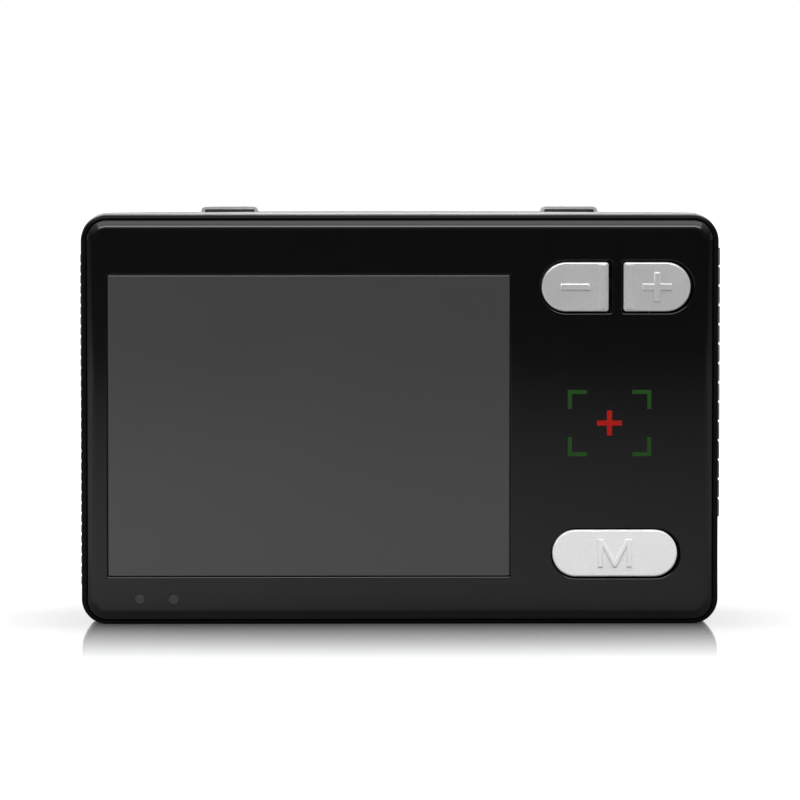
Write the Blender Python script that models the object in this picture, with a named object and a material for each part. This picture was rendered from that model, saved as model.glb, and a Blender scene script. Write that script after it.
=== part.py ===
"""Pocket video magnifier with a 3.5 inch screen, built as separate pieces.

Units are metres. X runs to the right across the screen, Y from the screen to the back, and Z up.
The body stands on its long lower edge, and the origin is on the ground under its middle.
Depths are measured from the front panel's face towards the back, and at_depth turns one into a Y.
"""

import math

import bmesh
import bpy
from mathutils import Matrix

# Body: three shells one behind the other, a front one, a silver band and a rear one.
BODY_HEIGHT = 0.0716
BODY_DEPTH = 0.0210
BODY_CORNER = 0.0045
WALL = 0.0015
BACK_ROUND = 0.0025
FRONT_SHELL_END = 0.0066
BAND_LENGTH = 0.0070
SEAM = 0.0002

# Gaps between pieces that fit into each other.
FIT = 0.00015
CLEARANCE = 0.0003

# Front panel, screen window and the shell's rim round them.
SIDE_RIM = 0.0010
END_RIM = 0.0008
RIM_ROUND = 0.0006
RIM_DEPTH = 0.0010
PANEL_THICKNESS = 0.0018
PANEL_CORNER = 0.0035
PANEL_SLOPE_WIDTH = 0.0012
PANEL_SLOPE_DEPTH = 0.0009
FLOOR_THICKNESS = 0.0012
SCREEN_WIDTH = 0.07008
SCREEN_HEIGHT = 0.05256
SCREEN_TO_KEYS = 0.00557
SCREEN_BOTTOM_MARGIN = 0.00855

# Display module behind the window.
DISPLAY_SIDE_GAP = 0.00035
DISPLAY_SIDE_BORDER = 0.0029
DISPLAY_LOWER_BORDER = 0.0026
DISPLAY_UPPER_BORDER = 0.0080
DISPLAY_THICKNESS = 0.0031
DISPLAY_GLASS_THICKNESS = 0.0014
DISPLAY_TRAY_WALL = 0.0004
DISPLAY_CORNER = 0.0015
RIBBON_THICKNESS = 0.0002
DISPLAY_RIBBON_WIDTH = 0.028
DISPLAY_RIBBON_DROP = 0.011

# Front keys.
KEY_PROUD = 0.00035
KEY_TRAVEL = 0.0004
KEY_GAP = 0.0003
KEY_INNER_GAP = 0.0006
KEY_EDGE = 0.00035
KEY_CORNER = 0.0005
KEY_FLANGE_LIP = 0.0007
KEY_FLANGE_THICKNESS = 0.0007
KEY_STEM_RADIUS = 0.0017
ZOOM_KEY_WIDTH = 0.0117
ZOOM_KEY_HEIGHT = 0.0086
ZOOM_KEY_SPACING = 0.0026
ZOOM_KEY_RIGHT_MARGIN = 0.0050
ZOOM_KEY_TOP_MARGIN = 0.0082
ZOOM_RIDGE_WIDTH = 0.0015
ZOOM_RIDGE_HEIGHT = 0.00015
MODE_KEY_WIDTH = 0.0218
MODE_KEY_HEIGHT = 0.0082
MODE_KEY_RIGHT_MARGIN = 0.00725
MODE_KEY_BOTTOM_MARGIN = 0.0084
MARK_HEIGHT = 0.00015
MARK_LENGTH = 0.0052
MARK_BAR = 0.0012

# Keys on the top edge.
TOP_KEY_WIDTH = 0.0100
TOP_KEY_DEPTH = 0.0040
TOP_KEY_PROUD = 0.0010
TOP_KEY_TRAVEL = 0.0005
TOP_KEY_SIDE_MARGIN = 0.0259
TOP_KEY_ROUND = 0.0009
TOP_KEY_STEM_RADIUS = 0.0011

# Silver band.
BAND_PROUD = 0.00015
BAND_CROWN = 0.0003
RIB_RADIUS = 0.0005
RIB_PROUD = 0.00025
RIB_END_MARGIN = 0.0008
LEFT_RIB_PITCH = 0.00183
LEFT_RIB_MARGIN = 0.0062
RIGHT_RIB_PITCH = 0.00341
RIGHT_RIB_LOWER_MARGIN = 0.0181
RIGHT_RIB_UPPER_MARGIN = 0.0050

# Indicator lamps under the screen.
LAMP_RADIUS = 0.00095
LAMP_LEFT_MARGIN = 0.0102
LAMP_SPACING = 0.0059
LAMP_HEIGHT = 0.0044
LAMP_LED_WIDTH = 0.0020
LAMP_LED_HEIGHT = 0.0012
LAMP_LED_THICKNESS = 0.0007

# Main board and what sits on it.
DISPLAY_TO_BOARD = 0.0014
BOARD_THICKNESS = 0.0010
BOARD_SIDE_GAP = 0.0010
BOARD_TOP_GAP = 0.0019
SOLDER_GAP = 0.0002
SWITCH_WIDTH = 0.0060
SWITCH_THICKNESS = 0.0016
SWITCH_PLUNGER_RADIUS = 0.0015
PLUNGER_STANDOFF = 0.0003
TOP_SWITCH_DEPTH = 0.0030
TOP_SWITCH_HEIGHT = 0.0022
TOP_SWITCH_SETBACK = 0.0003
TOP_PLUNGER_RADIUS = 0.0010
PLUNGER_OUT = 0.0008
PLUNGER_IN = 0.0004
PROCESSOR_WIDTH = 0.0120
MEMORY_WIDTH = 0.0080
MEMORY_HEIGHT = 0.0100
CHIP_THICKNESS = 0.0012
CHIP_SPACING = 0.0060

# Socket in the right side.
SOCKET_LENGTH = 0.0080
SOCKET_WIDTH = 0.0077
SOCKET_THICKNESS = 0.0037
SOCKET_WALL = 0.0004
SOCKET_MOUTH_DEPTH = 0.0062
SOCKET_TONGUE_WIDTH = 0.0046
SOCKET_TONGUE_THICKNESS = 0.0009
SOCKET_BOTTOM_MARGIN = 0.0088
SOCKET_RECESS = 0.0003

# Battery, its bay and its sliding door.
BATTERY_LENGTH = 0.0530
BATTERY_HEIGHT = 0.0340
BATTERY_THICKNESS = 0.0056
BATTERY_EDGE = 0.0007
BATTERY_LEFT_MARGIN = 0.0083
CONTACT_LENGTH = 0.0026
CONTACT_WIDTH = 0.0120
CONTACT_THICKNESS = 0.0042
CONTACT_FINGER = 0.0012
CONTACT_FINGER_PITCH = 0.0038
BAY_WALL = 0.0012
BAY_FLOOR = 0.0008
DOOR_HEIGHT = 0.0420
DOOR_END_LIP = 0.0010
DOOR_FLANGE_LIP = 0.0008
DOOR_FLANGE_THICKNESS = 0.0009
DOOR_PLATE_THICKNESS = 0.0014

# Camera in the back, behind the target on the front panel.
CAMERA_RIGHT_MARGIN = 0.0191
CAMERA_DROP = 0.0005
CAMERA_BOARD_DEPTH = 0.0112
CAMERA_BOARD_THICKNESS = 0.0008
CAMERA_BOARD_WIDTH = 0.0196
CAMERA_BOARD_HEIGHT = 0.0300
SENSOR_WIDTH = 0.0084
SENSOR_THICKNESS = 0.0008
HOLDER_WIDTH = 0.0140
HOLDER_BASE_THICKNESS = 0.0018
HOLDER_TUBE_LENGTH = 0.0028
HOLDER_WALL = 0.0011
BARREL_RADIUS = 0.0039
BARREL_LENGTH = 0.0048
BARREL_BORE = 0.0021
LENS_RADIUS = 0.00265
LENS_EDGE = 0.0005
LENS_BULGE = 0.00035
LENS_SEAT_DEPTH = 0.0016
WINDOW_RADIUS = 0.0050
WINDOW_THICKNESS = 0.0009
WINDOW_LEDGE = 0.0006
CAMERA_RING_RADIUS = 0.0065
CAMERA_RING_LIP = 0.0004
CAMERA_RING_SEAT = 0.0010
CAMERA_RING_PROUD = 0.0002
CAMERA_BOSS_WALL = 0.0025
CAMERA_BOSS_DEPTH = 0.0011
LIGHT_SPACING = 0.0102
LIGHT_RADIUS = 0.0015
LIGHT_FLANGE = 0.0003
LIGHT_BODY_LENGTH = 0.0048
LIGHT_LEG_RADIUS = 0.0010
LIGHT_RECESS = 0.0005
CAMERA_RIBBON_WIDTH = 0.0100
CAMERA_RIBBON_DROP = 0.0060

# Screws, their posts and the feet.
CORNER_POST_INSET = 0.0047
CORNER_POST_RADIUS = 0.0034
SCREW_RADIUS = 0.0009
SCREW_HEAD_RADIUS = 0.0017
SCREW_HEAD_THICKNESS = 0.0012
SCREW_HEAD_RECESS = 0.0017
SCREW_GRIP = 0.0046
SCREW_CROSS_LENGTH = 0.0020
SCREW_CROSS_BAR = 0.0005
SCREW_CROSS_DEPTH = 0.0006
INNER_POST_RADIUS = 0.0021
INNER_SCREW_RADIUS = 0.0007
INNER_SCREW_HEAD_RADIUS = 0.0014
INNER_SCREW_HEAD_THICKNESS = 0.0006
INNER_SCREW_GRIP = 0.0035
BOARD_SCREW_GAP = 0.0022
BOARD_SCREW_REACH = 0.0135
CAMERA_SCREW_INSET = 0.0026
FOOT_RADIUS = 0.0033
FOOT_PROUD = 0.0008
FOOT_SEAT = 0.0006
FOOT_ROUND = 0.0004
FOOT_SIDE_MARGIN = 0.0122
FOOT_END_MARGIN = 0.0070

# Facets.
CORNER_STEPS = 6
EDGE_STEPS = 3
BACK_STEPS = 4
ROUND_STEPS = 24
POST_STEPS = 16
KEY_STEPS = 8
RIB_STEPS = 10
CROWN_STEPS = 12
SMOOTH_ANGLE = math.radians(35)
OVERCUT = 0.0010
JOINED = 0.0003

# Places worked out from the sizes above.
SCREEN_LEFT_MARGIN = WALL + DISPLAY_SIDE_GAP + DISPLAY_SIDE_BORDER
ZOOM_KEYS_WIDTH = 2 * ZOOM_KEY_WIDTH + ZOOM_KEY_SPACING + ZOOM_KEY_RIGHT_MARGIN
BODY_WIDTH = SCREEN_LEFT_MARGIN + SCREEN_WIDTH + SCREEN_TO_KEYS + ZOOM_KEYS_WIDTH
HALF_WIDTH = BODY_WIDTH / 2
MID_HEIGHT = BODY_HEIGHT / 2
FRONTMOST = KEY_PROUD + max(MARK_HEIGHT, ZOOM_RIDGE_HEIGHT)
PANEL_FACE_Y = FRONTMOST - (FRONTMOST + BODY_DEPTH + FOOT_PROUD) / 2
FLOOR_FRONT = PANEL_THICKNESS + SEAM
FLOOR_BACK = FLOOR_FRONT + FLOOR_THICKNESS
BAND_FRONT = FRONT_SHELL_END + SEAM
BAND_BACK = BAND_FRONT + BAND_LENGTH
BAND_MIDDLE = (BAND_FRONT + BAND_BACK) / 2
REAR_SHELL_FRONT = BAND_BACK + SEAM
BACK_INSIDE = BODY_DEPTH - WALL
INNER_TOP = BODY_HEIGHT - WALL
SCREEN_LEFT = SCREEN_LEFT_MARGIN - HALF_WIDTH
SCREEN_RIGHT = SCREEN_LEFT + SCREEN_WIDTH
SCREEN_BOTTOM = SCREEN_BOTTOM_MARGIN
SCREEN_TOP = SCREEN_BOTTOM + SCREEN_HEIGHT
DISPLAY_FRONT = FLOOR_BACK + CLEARANCE
DISPLAY_BACK = DISPLAY_FRONT + DISPLAY_THICKNESS
DISPLAY_LEFT = SCREEN_LEFT - DISPLAY_SIDE_BORDER
DISPLAY_RIGHT = SCREEN_RIGHT + DISPLAY_SIDE_BORDER
DISPLAY_BOTTOM = SCREEN_BOTTOM - DISPLAY_LOWER_BORDER
DISPLAY_TOP = SCREEN_TOP + DISPLAY_UPPER_BORDER
BOARD_FRONT = DISPLAY_BACK + DISPLAY_TO_BOARD
BOARD_BACK = BOARD_FRONT + BOARD_THICKNESS
CAMERA_X = HALF_WIDTH - CAMERA_RIGHT_MARGIN
CAMERA_Z = MID_HEIGHT - CAMERA_DROP
CAMERA_BOARD_BACK = CAMERA_BOARD_DEPTH + CAMERA_BOARD_THICKNESS
BATTERY_LEFT = BATTERY_LEFT_MARGIN - HALF_WIDTH
BATTERY_RIGHT = BATTERY_LEFT + BATTERY_LENGTH
BAY_LEFT = BATTERY_LEFT - CLEARANCE
BAY_RIGHT = BATTERY_RIGHT + CLEARANCE + CONTACT_LENGTH + CLEARANCE
BAY_HALF_HEIGHT = BATTERY_HEIGHT / 2 + CLEARANCE
DOOR_PLATE_FRONT = BODY_DEPTH - DOOR_PLATE_THICKNESS
DOOR_FRONT = DOOR_PLATE_FRONT - DOOR_FLANGE_THICKNESS
DOOR_RIGHT = BAY_RIGHT + DOOR_END_LIP
BATTERY_BACK = DOOR_FRONT - CLEARANCE
BATTERY_FRONT = BATTERY_BACK - BATTERY_THICKNESS
BAY_FLOOR_BACK = BATTERY_FRONT - CLEARANCE
BAY_FLOOR_FRONT = BAY_FLOOR_BACK - BAY_FLOOR
POST_X = HALF_WIDTH - CORNER_POST_INSET
POST_BOTTOM = CORNER_POST_INSET
POST_TOP = BODY_HEIGHT - CORNER_POST_INSET
SCREW_HEAD_BACK = BODY_DEPTH - SCREW_HEAD_RECESS
SCREW_HEAD_FRONT = SCREW_HEAD_BACK - SCREW_HEAD_THICKNESS
SOCKET_FRONT = BOARD_BACK + SOLDER_GAP
SOCKET_BACK = SOCKET_FRONT + SOCKET_THICKNESS
SOCKET_RIGHT = HALF_WIDTH - SOCKET_RECESS
SOCKET_TOP = SOCKET_BOTTOM_MARGIN + SOCKET_WIDTH


def at_depth(depth):
    """The Y of a point this far behind the front panel's face."""
    return PANEL_FACE_Y + depth


# Shapes. Each returns a bmesh in place in the world.


def rounded_outline(left, right, bottom, top, left_radius, right_radius, steps=CORNER_STEPS):
    """Points round a rectangle whose corners are arcs, one radius for each end."""
    corners = (
        (right - right_radius, top - right_radius, right_radius, 0),
        (left + left_radius, top - left_radius, left_radius, 90),
        (left + left_radius, bottom + left_radius, left_radius, 180),
        (right - right_radius, bottom + right_radius, right_radius, 270),
    )
    points = []
    for centre_x, centre_z, radius, start in corners:
        arc_steps = steps if radius > 0 else 0
        for step in range(arc_steps + 1):
            angle = math.radians(start + 90 * step / max(arc_steps, 1))
            point = (centre_x + radius * math.cos(angle), centre_z + radius * math.sin(angle))
            if not points or math.dist(points[-1], point) > FIT / 100:
                points.append(point)
    if math.dist(points[-1], points[0]) < FIT / 100:
        points.pop()
    return points


def body_outline(inset, proud=0.0, crown=0.0):
    """The body's outline pulled in by inset, its sides and top standing proud and its top bowed."""
    radius = BODY_CORNER - inset
    left = inset - HALF_WIDTH - proud
    top = BODY_HEIGHT - inset + proud
    outline = rounded_outline(left, -left, inset, top, radius, radius)
    if not crown:
        return outline
    flat_half = -left - radius
    bow = []
    for step in range(1, CROWN_STEPS):
        x = flat_half * (1 - 2 * step / CROWN_STEPS)
        bow.append((x, top + crown * (1 - (x / flat_half) ** 2)))
    corner_points = CORNER_STEPS + 1
    return outline[:corner_points] + bow + outline[corner_points:]


def prism(outline, front, back):
    """The outline drawn out from one depth to another."""
    mesh = bmesh.new()
    face = mesh.faces.new([mesh.verts.new((x, at_depth(front), z)) for x, z in outline])
    drawn = bmesh.ops.extrude_face_region(mesh, geom=[face])["geom"]
    moved = [item for item in drawn if isinstance(item, bmesh.types.BMVert)]
    bmesh.ops.translate(mesh, verts=moved, vec=(0, back - front, 0))
    bmesh.ops.recalc_face_normals(mesh, faces=mesh.faces)
    return mesh


def slab(left, right, front, back, bottom, top, corner=0.0):
    """A box between three pairs of limits, its edges along Y rounded."""
    return prism(rounded_outline(left, right, bottom, top, corner, corner), front, back)


def centred_slab(x, z, width, height, front, back, corner=0.0):
    """A slab given by its middle and its size."""
    half_width = width / 2
    half_height = height / 2
    return slab(
        x - half_width, x + half_width, front, back, z - half_height, z + half_height, corner
    )


def rod(x, z, radius, front, back, steps=ROUND_STEPS):
    """A round bar along Y."""
    mesh = bmesh.new()
    middle = Matrix.Translation((x, at_depth((front + back) / 2), z))
    bmesh.ops.create_cone(
        mesh,
        cap_ends=True,
        segments=steps,
        radius1=radius,
        radius2=radius,
        depth=back - front,
        matrix=middle @ Matrix.Rotation(math.radians(90), 4, "X"),
    )
    return mesh


def upright_rod(x, depth, radius, bottom, top, steps=POST_STEPS):
    """A round bar along Z."""
    mesh = bmesh.new()
    bmesh.ops.create_cone(
        mesh,
        cap_ends=True,
        segments=steps,
        radius1=radius,
        radius2=radius,
        depth=top - bottom,
        matrix=Matrix.Translation((x, at_depth(depth), (bottom + top) / 2)),
    )
    return mesh


def turned(profile, x, z, steps=ROUND_STEPS, ring=False):
    """A profile of (radius, depth) points turned about a line along Y."""
    mesh = bmesh.new()
    verts = [mesh.verts.new((radius, at_depth(depth), 0)) for radius, depth in profile]
    ends = verts[1:] + verts[:1] if ring else verts[1:]
    edges = [mesh.edges.new(pair) for pair in zip(verts, ends)]
    bmesh.ops.spin(
        mesh,
        geom=verts + edges,
        cent=(0, 0, 0),
        axis=(0, 1, 0),
        angle=math.tau,
        steps=steps,
        use_merge=True,
    )
    bmesh.ops.remove_doubles(mesh, verts=mesh.verts, dist=FIT / 100)
    bmesh.ops.recalc_face_normals(mesh, faces=mesh.faces)
    bmesh.ops.translate(mesh, verts=mesh.verts, vec=(x, 0, z))
    return mesh


def cross_prism(x, z, length, bar, front, back):
    """A plus sign drawn out along Y."""
    far = length / 2
    near = bar / 2
    quarter = ((far, near), (near, near), (near, far))
    points = []
    for turn in range(4):
        angle = math.radians(90 * turn)
        for across, up in quarter:
            points.append(
                (
                    x + across * math.cos(angle) - up * math.sin(angle),
                    z + across * math.sin(angle) + up * math.cos(angle),
                )
            )
    return prism(points, front, back)


def merged(meshes):
    """Several separate shapes in one bmesh."""
    whole = bmesh.new()
    for mesh in meshes:
        data = bpy.data.meshes.new("part")
        mesh.to_mesh(data)
        mesh.free()
        whole.from_mesh(data)
        bpy.data.meshes.remove(data)
    return whole


def edges_at(mesh, axis, value):
    """The edges that lie in one plane across an axis."""
    return [
        edge
        for edge in mesh.edges
        if all(abs(vert.co[axis] - value) < FIT / 10 for vert in edge.verts)
    ]


def round_rim(mesh, depth, amount, steps=EDGE_STEPS):
    """Round the edges at one depth."""
    bmesh.ops.bevel(
        mesh,
        geom=edges_at(mesh, 1, at_depth(depth)),
        offset=amount,
        segments=steps,
        profile=0.5,
        affect="EDGES",
    )
    return mesh


def slope_front(mesh, width, depth):
    """Give a slab's front face a sloping border, so that the face stands forward by depth."""
    face = min(mesh.faces, key=lambda item: item.calc_center_median().y)
    bmesh.ops.inset_region(mesh, faces=[face], thickness=width, use_even_offset=True)
    bmesh.ops.translate(mesh, verts=face.verts, vec=(0, -depth, 0))
    return mesh


# Objects.


def clear_scene():
    """Empty the scene."""
    for item in list(bpy.data.objects):
        bpy.data.objects.remove(item, do_unlink=True)


def make_finish(name, colour, roughness, metallic=0.0, transmission=0.0):
    """One material with its colour, roughness and metallic value."""
    finish = bpy.data.materials.new(name)
    finish.use_nodes = True
    shader = finish.node_tree.nodes["Principled BSDF"]
    shader.inputs["Base Color"].default_value = (*colour, 1.0)
    shader.inputs["Roughness"].default_value = roughness
    shader.inputs["Metallic"].default_value = metallic
    shader.inputs["Transmission Weight"].default_value = transmission
    return finish


def add_empty(name, place, parent=None):
    """An empty on a joint's axis, which the moving pieces hang on."""
    empty = bpy.data.objects.new(name, None)
    bpy.context.scene.collection.objects.link(empty)
    empty.empty_display_size = WALL
    place_under(empty, parent, place)
    return empty


def place_under(item, parent, place):
    """Hang an object on its parent and put its origin at a place in the world."""
    item["world_place"] = tuple(place)
    start = parent["world_place"] if parent else (0.0, 0.0, 0.0)
    item.parent = parent
    item.location = [there - here for there, here in zip(place, start)]


def add_piece(name, mesh, finish, parent, place):
    """Make one piece, with its own origin at a place given in the world."""
    bmesh.ops.translate(mesh, verts=mesh.verts, vec=[-value for value in place])
    data = bpy.data.meshes.new(name)
    mesh.to_mesh(data)
    mesh.free()
    data.shade_smooth()
    data.set_sharp_from_angle(angle=SMOOTH_ANGLE)
    data.materials.append(finish)
    piece = bpy.data.objects.new(name, data)
    bpy.context.scene.collection.objects.link(piece)
    place_under(piece, parent, place)
    return piece


def combine(piece, name, mesh, operation):
    """Join a shape to a piece, or cut it away, with a live Boolean."""
    bmesh.ops.translate(mesh, verts=mesh.verts, vec=[-value for value in piece["world_place"]])
    data = bpy.data.meshes.new(f"{piece.name}_{name}")
    mesh.to_mesh(data)
    mesh.free()
    tool = bpy.data.objects.new(data.name, data)
    bpy.context.scene.collection.objects.link(tool)
    tool.parent = piece
    tool.hide_render = True
    tool.display_type = "WIRE"
    modifier = piece.modifiers.new(name, "BOOLEAN")
    modifier.operation = operation
    modifier.object = tool
    modifier.solver = "EXACT"


def join(piece, name, mesh):
    """Join a shape to a piece."""
    combine(piece, name, mesh, "UNION")


def cut(piece, name, mesh):
    """Cut a shape out of a piece."""
    combine(piece, name, mesh, "DIFFERENCE")


# Pieces.


def key_limits():
    """Left, right, bottom and top of the three front keys, and the radii of their ends."""
    plus_right = HALF_WIDTH - ZOOM_KEY_RIGHT_MARGIN
    plus_left = plus_right - ZOOM_KEY_WIDTH
    minus_right = plus_left - ZOOM_KEY_SPACING
    minus_left = minus_right - ZOOM_KEY_WIDTH
    zoom_top = BODY_HEIGHT - ZOOM_KEY_TOP_MARGIN
    zoom_bottom = zoom_top - ZOOM_KEY_HEIGHT
    mode_right = HALF_WIDTH - MODE_KEY_RIGHT_MARGIN
    mode_left = mode_right - MODE_KEY_WIDTH
    mode_top = MODE_KEY_BOTTOM_MARGIN + MODE_KEY_HEIGHT
    zoom_end = ZOOM_KEY_HEIGHT / 2
    mode_end = MODE_KEY_HEIGHT / 2
    return {
        "minus_key": (minus_left, minus_right, zoom_bottom, zoom_top, zoom_end, KEY_CORNER),
        "plus_key": (plus_left, plus_right, zoom_bottom, zoom_top, KEY_CORNER, zoom_end),
        "mode_key": (mode_left, mode_right, MODE_KEY_BOTTOM_MARGIN, mode_top, mode_end, mode_end),
    }


def grown_key_outline(limits, gap, inner_gap=None):
    """A key's outline made larger by a gap, wider still at its square end."""
    left, right, bottom, top, left_radius, right_radius = limits
    inner_gap = gap if inner_gap is None else inner_gap
    left_gap = inner_gap if left_radius == KEY_CORNER else gap
    right_gap = inner_gap if right_radius == KEY_CORNER else gap
    return rounded_outline(
        left - left_gap,
        right + right_gap,
        bottom - gap,
        top + gap,
        left_radius + gap,
        right_radius + gap,
        KEY_STEPS,
    )


def key_centre(limits):
    """The middle of a key, seen from the front."""
    left, right, bottom, top = limits[:4]
    return (left + right) / 2, (bottom + top) / 2


def lamp_places():
    """The middles of the two indicator lamps."""
    first = LAMP_LEFT_MARGIN - HALF_WIDTH
    return ((first, LAMP_HEIGHT), (first + LAMP_SPACING, LAMP_HEIGHT))


def top_key_places():
    """The middles of the two keys on the top edge, across the width."""
    return (TOP_KEY_SIDE_MARGIN - HALF_WIDTH, HALF_WIDTH - TOP_KEY_SIDE_MARGIN)


def corner_post_places():
    """The middles of the four posts that the housing screws go into."""
    return [(x, z) for z in (POST_BOTTOM, POST_TOP) for x in (-POST_X, POST_X)]


def board_post_places():
    """The middles of the two posts that hold the main board, clear of the display."""
    x = DISPLAY_RIGHT + BOARD_SCREW_GAP - CLEARANCE
    return [(x, CAMERA_Z - BOARD_SCREW_REACH), (x, CAMERA_Z + BOARD_SCREW_REACH)]


def camera_post_places():
    """The middles of the two posts that hold the camera board, at opposite corners of it."""
    across = CAMERA_BOARD_WIDTH / 2 - CAMERA_SCREW_INSET
    up = CAMERA_BOARD_HEIGHT / 2 - CAMERA_SCREW_INSET
    return [(CAMERA_X - across, CAMERA_Z - up), (CAMERA_X + across, CAMERA_Z + up)]


def light_places():
    """The middles of the two lights beside the camera."""
    return [(CAMERA_X, CAMERA_Z - LIGHT_SPACING), (CAMERA_X, CAMERA_Z + LIGHT_SPACING)]


def foot_places():
    """The middles of the four rubber feet on the back."""
    x = HALF_WIDTH - FOOT_SIDE_MARGIN
    return [(side * x, z) for z in (FOOT_END_MARGIN, BODY_HEIGHT - FOOT_END_MARGIN) for side in (-1, 1)]


def body_place():
    """The middle of the body, where fixed pieces have their origins."""
    return (0.0, at_depth(BAND_MIDDLE), MID_HEIGHT)


def panel_outline(gap=0.0):
    """The front panel's outline, or its seat's when a gap is given."""
    left = SIDE_RIM - HALF_WIDTH - gap
    radius = PANEL_CORNER + gap
    return rounded_outline(left, -left, END_RIM - gap, BODY_HEIGHT - END_RIM + gap, radius, radius)


def build_front_panel(finishes, body):
    """The glossy panel, open for the window, the keys and the lamps, and the window itself."""
    mesh = slope_front(
        prism(panel_outline(), PANEL_SLOPE_DEPTH, PANEL_THICKNESS), PANEL_SLOPE_WIDTH, PANEL_SLOPE_DEPTH
    )
    panel = add_piece("front_panel", mesh, finishes["panel"], body, body_place())
    back = PANEL_THICKNESS + OVERCUT
    opening = slab(
        SCREEN_LEFT - FIT, SCREEN_RIGHT + FIT, -OVERCUT, back, SCREEN_BOTTOM - FIT, SCREEN_TOP + FIT
    )
    cut(panel, "window_opening", opening)
    for name, limits in key_limits().items():
        outline = grown_key_outline(limits, KEY_GAP, KEY_INNER_GAP)
        cut(panel, f"{name}_opening", prism(outline, -OVERCUT, back))
    holes = [rod(x, z, LAMP_RADIUS + FIT, -OVERCUT, back, POST_STEPS) for x, z in lamp_places()]
    cut(panel, "lamp_holes", merged(holes))
    window = slab(SCREEN_LEFT, SCREEN_RIGHT, 0, PANEL_THICKNESS, SCREEN_BOTTOM, SCREEN_TOP)
    middle = ((SCREEN_LEFT + SCREEN_RIGHT) / 2, at_depth(0), (SCREEN_BOTTOM + SCREEN_TOP) / 2)
    add_piece("screen_window", window, finishes["window"], body, middle)


def build_front_housing(finishes, body):
    """The front shell: a rim round the panel, a floor behind it and walls back to the band."""
    mesh = prism(body_outline(0), RIM_DEPTH, FRONT_SHELL_END)
    round_rim(mesh, RIM_DEPTH, RIM_ROUND)
    shell = add_piece("front_housing", mesh, finishes["shell"], body, body_place())
    cut(shell, "panel_seat", prism(panel_outline(FIT), -OVERCUT, FLOOR_FRONT))
    cut(shell, "cavity", prism(body_outline(WALL), FLOOR_BACK, FRONT_SHELL_END + OVERCUT))
    margin = CLEARANCE
    through = FLOOR_BACK + OVERCUT
    view = slab(
        SCREEN_LEFT - margin,
        SCREEN_RIGHT + margin,
        0,
        through,
        SCREEN_BOTTOM - margin,
        SCREEN_TOP + margin,
    )
    cut(shell, "display_opening", view)
    for name, limits in key_limits().items():
        outline = grown_key_outline(limits, KEY_GAP + FIT, KEY_INNER_GAP + FIT)
        cut(shell, f"{name}_opening", prism(outline, 0, through))
    holes = [rod(x, z, LAMP_RADIUS + CLEARANCE, 0, through, POST_STEPS) for x, z in lamp_places()]
    cut(shell, "lamp_holes", merged(holes))


def rib_heights(lower_margin, upper_margin, pitch):
    """The heights of a row of ribs that starts at the lower margin."""
    count = int((BODY_HEIGHT - upper_margin - lower_margin) / pitch) + 1
    return [lower_margin + pitch * step for step in range(count)]


def build_mid_frame(finishes, body):
    """The silver band: a ring with a bowed top, ribbed sides and a post in each corner."""
    mesh = prism(body_outline(0, BAND_PROUD, BAND_CROWN), BAND_FRONT, BAND_BACK)
    band = add_piece("mid_frame", mesh, finishes["silver"], body, body_place())
    rib_x = HALF_WIDTH + BAND_PROUD + RIB_PROUD - RIB_RADIUS
    left = rib_heights(LEFT_RIB_MARGIN, LEFT_RIB_MARGIN, LEFT_RIB_PITCH)
    right = rib_heights(RIGHT_RIB_LOWER_MARGIN, RIGHT_RIB_UPPER_MARGIN, RIGHT_RIB_PITCH)
    front = BAND_FRONT + RIB_END_MARGIN
    back = BAND_BACK - RIB_END_MARGIN
    places = [(-rib_x, z) for z in left] + [(rib_x, z) for z in right]
    join(band, "ribs", merged([rod(x, z, RIB_RADIUS, front, back, RIB_STEPS) for x, z in places]))
    cut(band, "inside", prism(body_outline(WALL), BAND_FRONT - OVERCUT, BAND_BACK + OVERCUT))
    posts = [
        rod(x, z, CORNER_POST_RADIUS, BAND_FRONT + CLEARANCE, BAND_BACK - CLEARANCE)
        for x, z in corner_post_places()
    ]
    join(band, "corner_posts", merged(posts))
    hole_end = BAND_BACK - SCREW_GRIP - CLEARANCE
    holes = [
        rod(x, z, SCREW_RADIUS + FIT, hole_end, BAND_BACK + OVERCUT, POST_STEPS)
        for x, z in corner_post_places()
    ]
    cut(band, "screw_holes", merged(holes))
    for x, name in zip(top_key_places(), ("left_slot", "right_slot")):
        slot = top_key_slab(x, FIT, INNER_TOP - OVERCUT, BODY_HEIGHT + TOP_KEY_PROUD + OVERCUT)
        cut(band, name, slot)
    mouth = slab(
        SOCKET_RIGHT - WALL - OVERCUT,
        HALF_WIDTH + OVERCUT,
        SOCKET_FRONT - FIT,
        SOCKET_BACK + FIT,
        SOCKET_BOTTOM_MARGIN - FIT,
        SOCKET_TOP + FIT,
    )
    cut(band, "socket_opening", mouth)


def top_key_slab(x, gap, bottom, top):
    """The shape of a top key, seen from above, between two heights."""
    half_width = TOP_KEY_WIDTH / 2 + gap
    half_depth = TOP_KEY_DEPTH / 2 + gap
    return slab(
        x - half_width, x + half_width, BAND_MIDDLE - half_depth, BAND_MIDDLE + half_depth, bottom, top
    )


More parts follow.
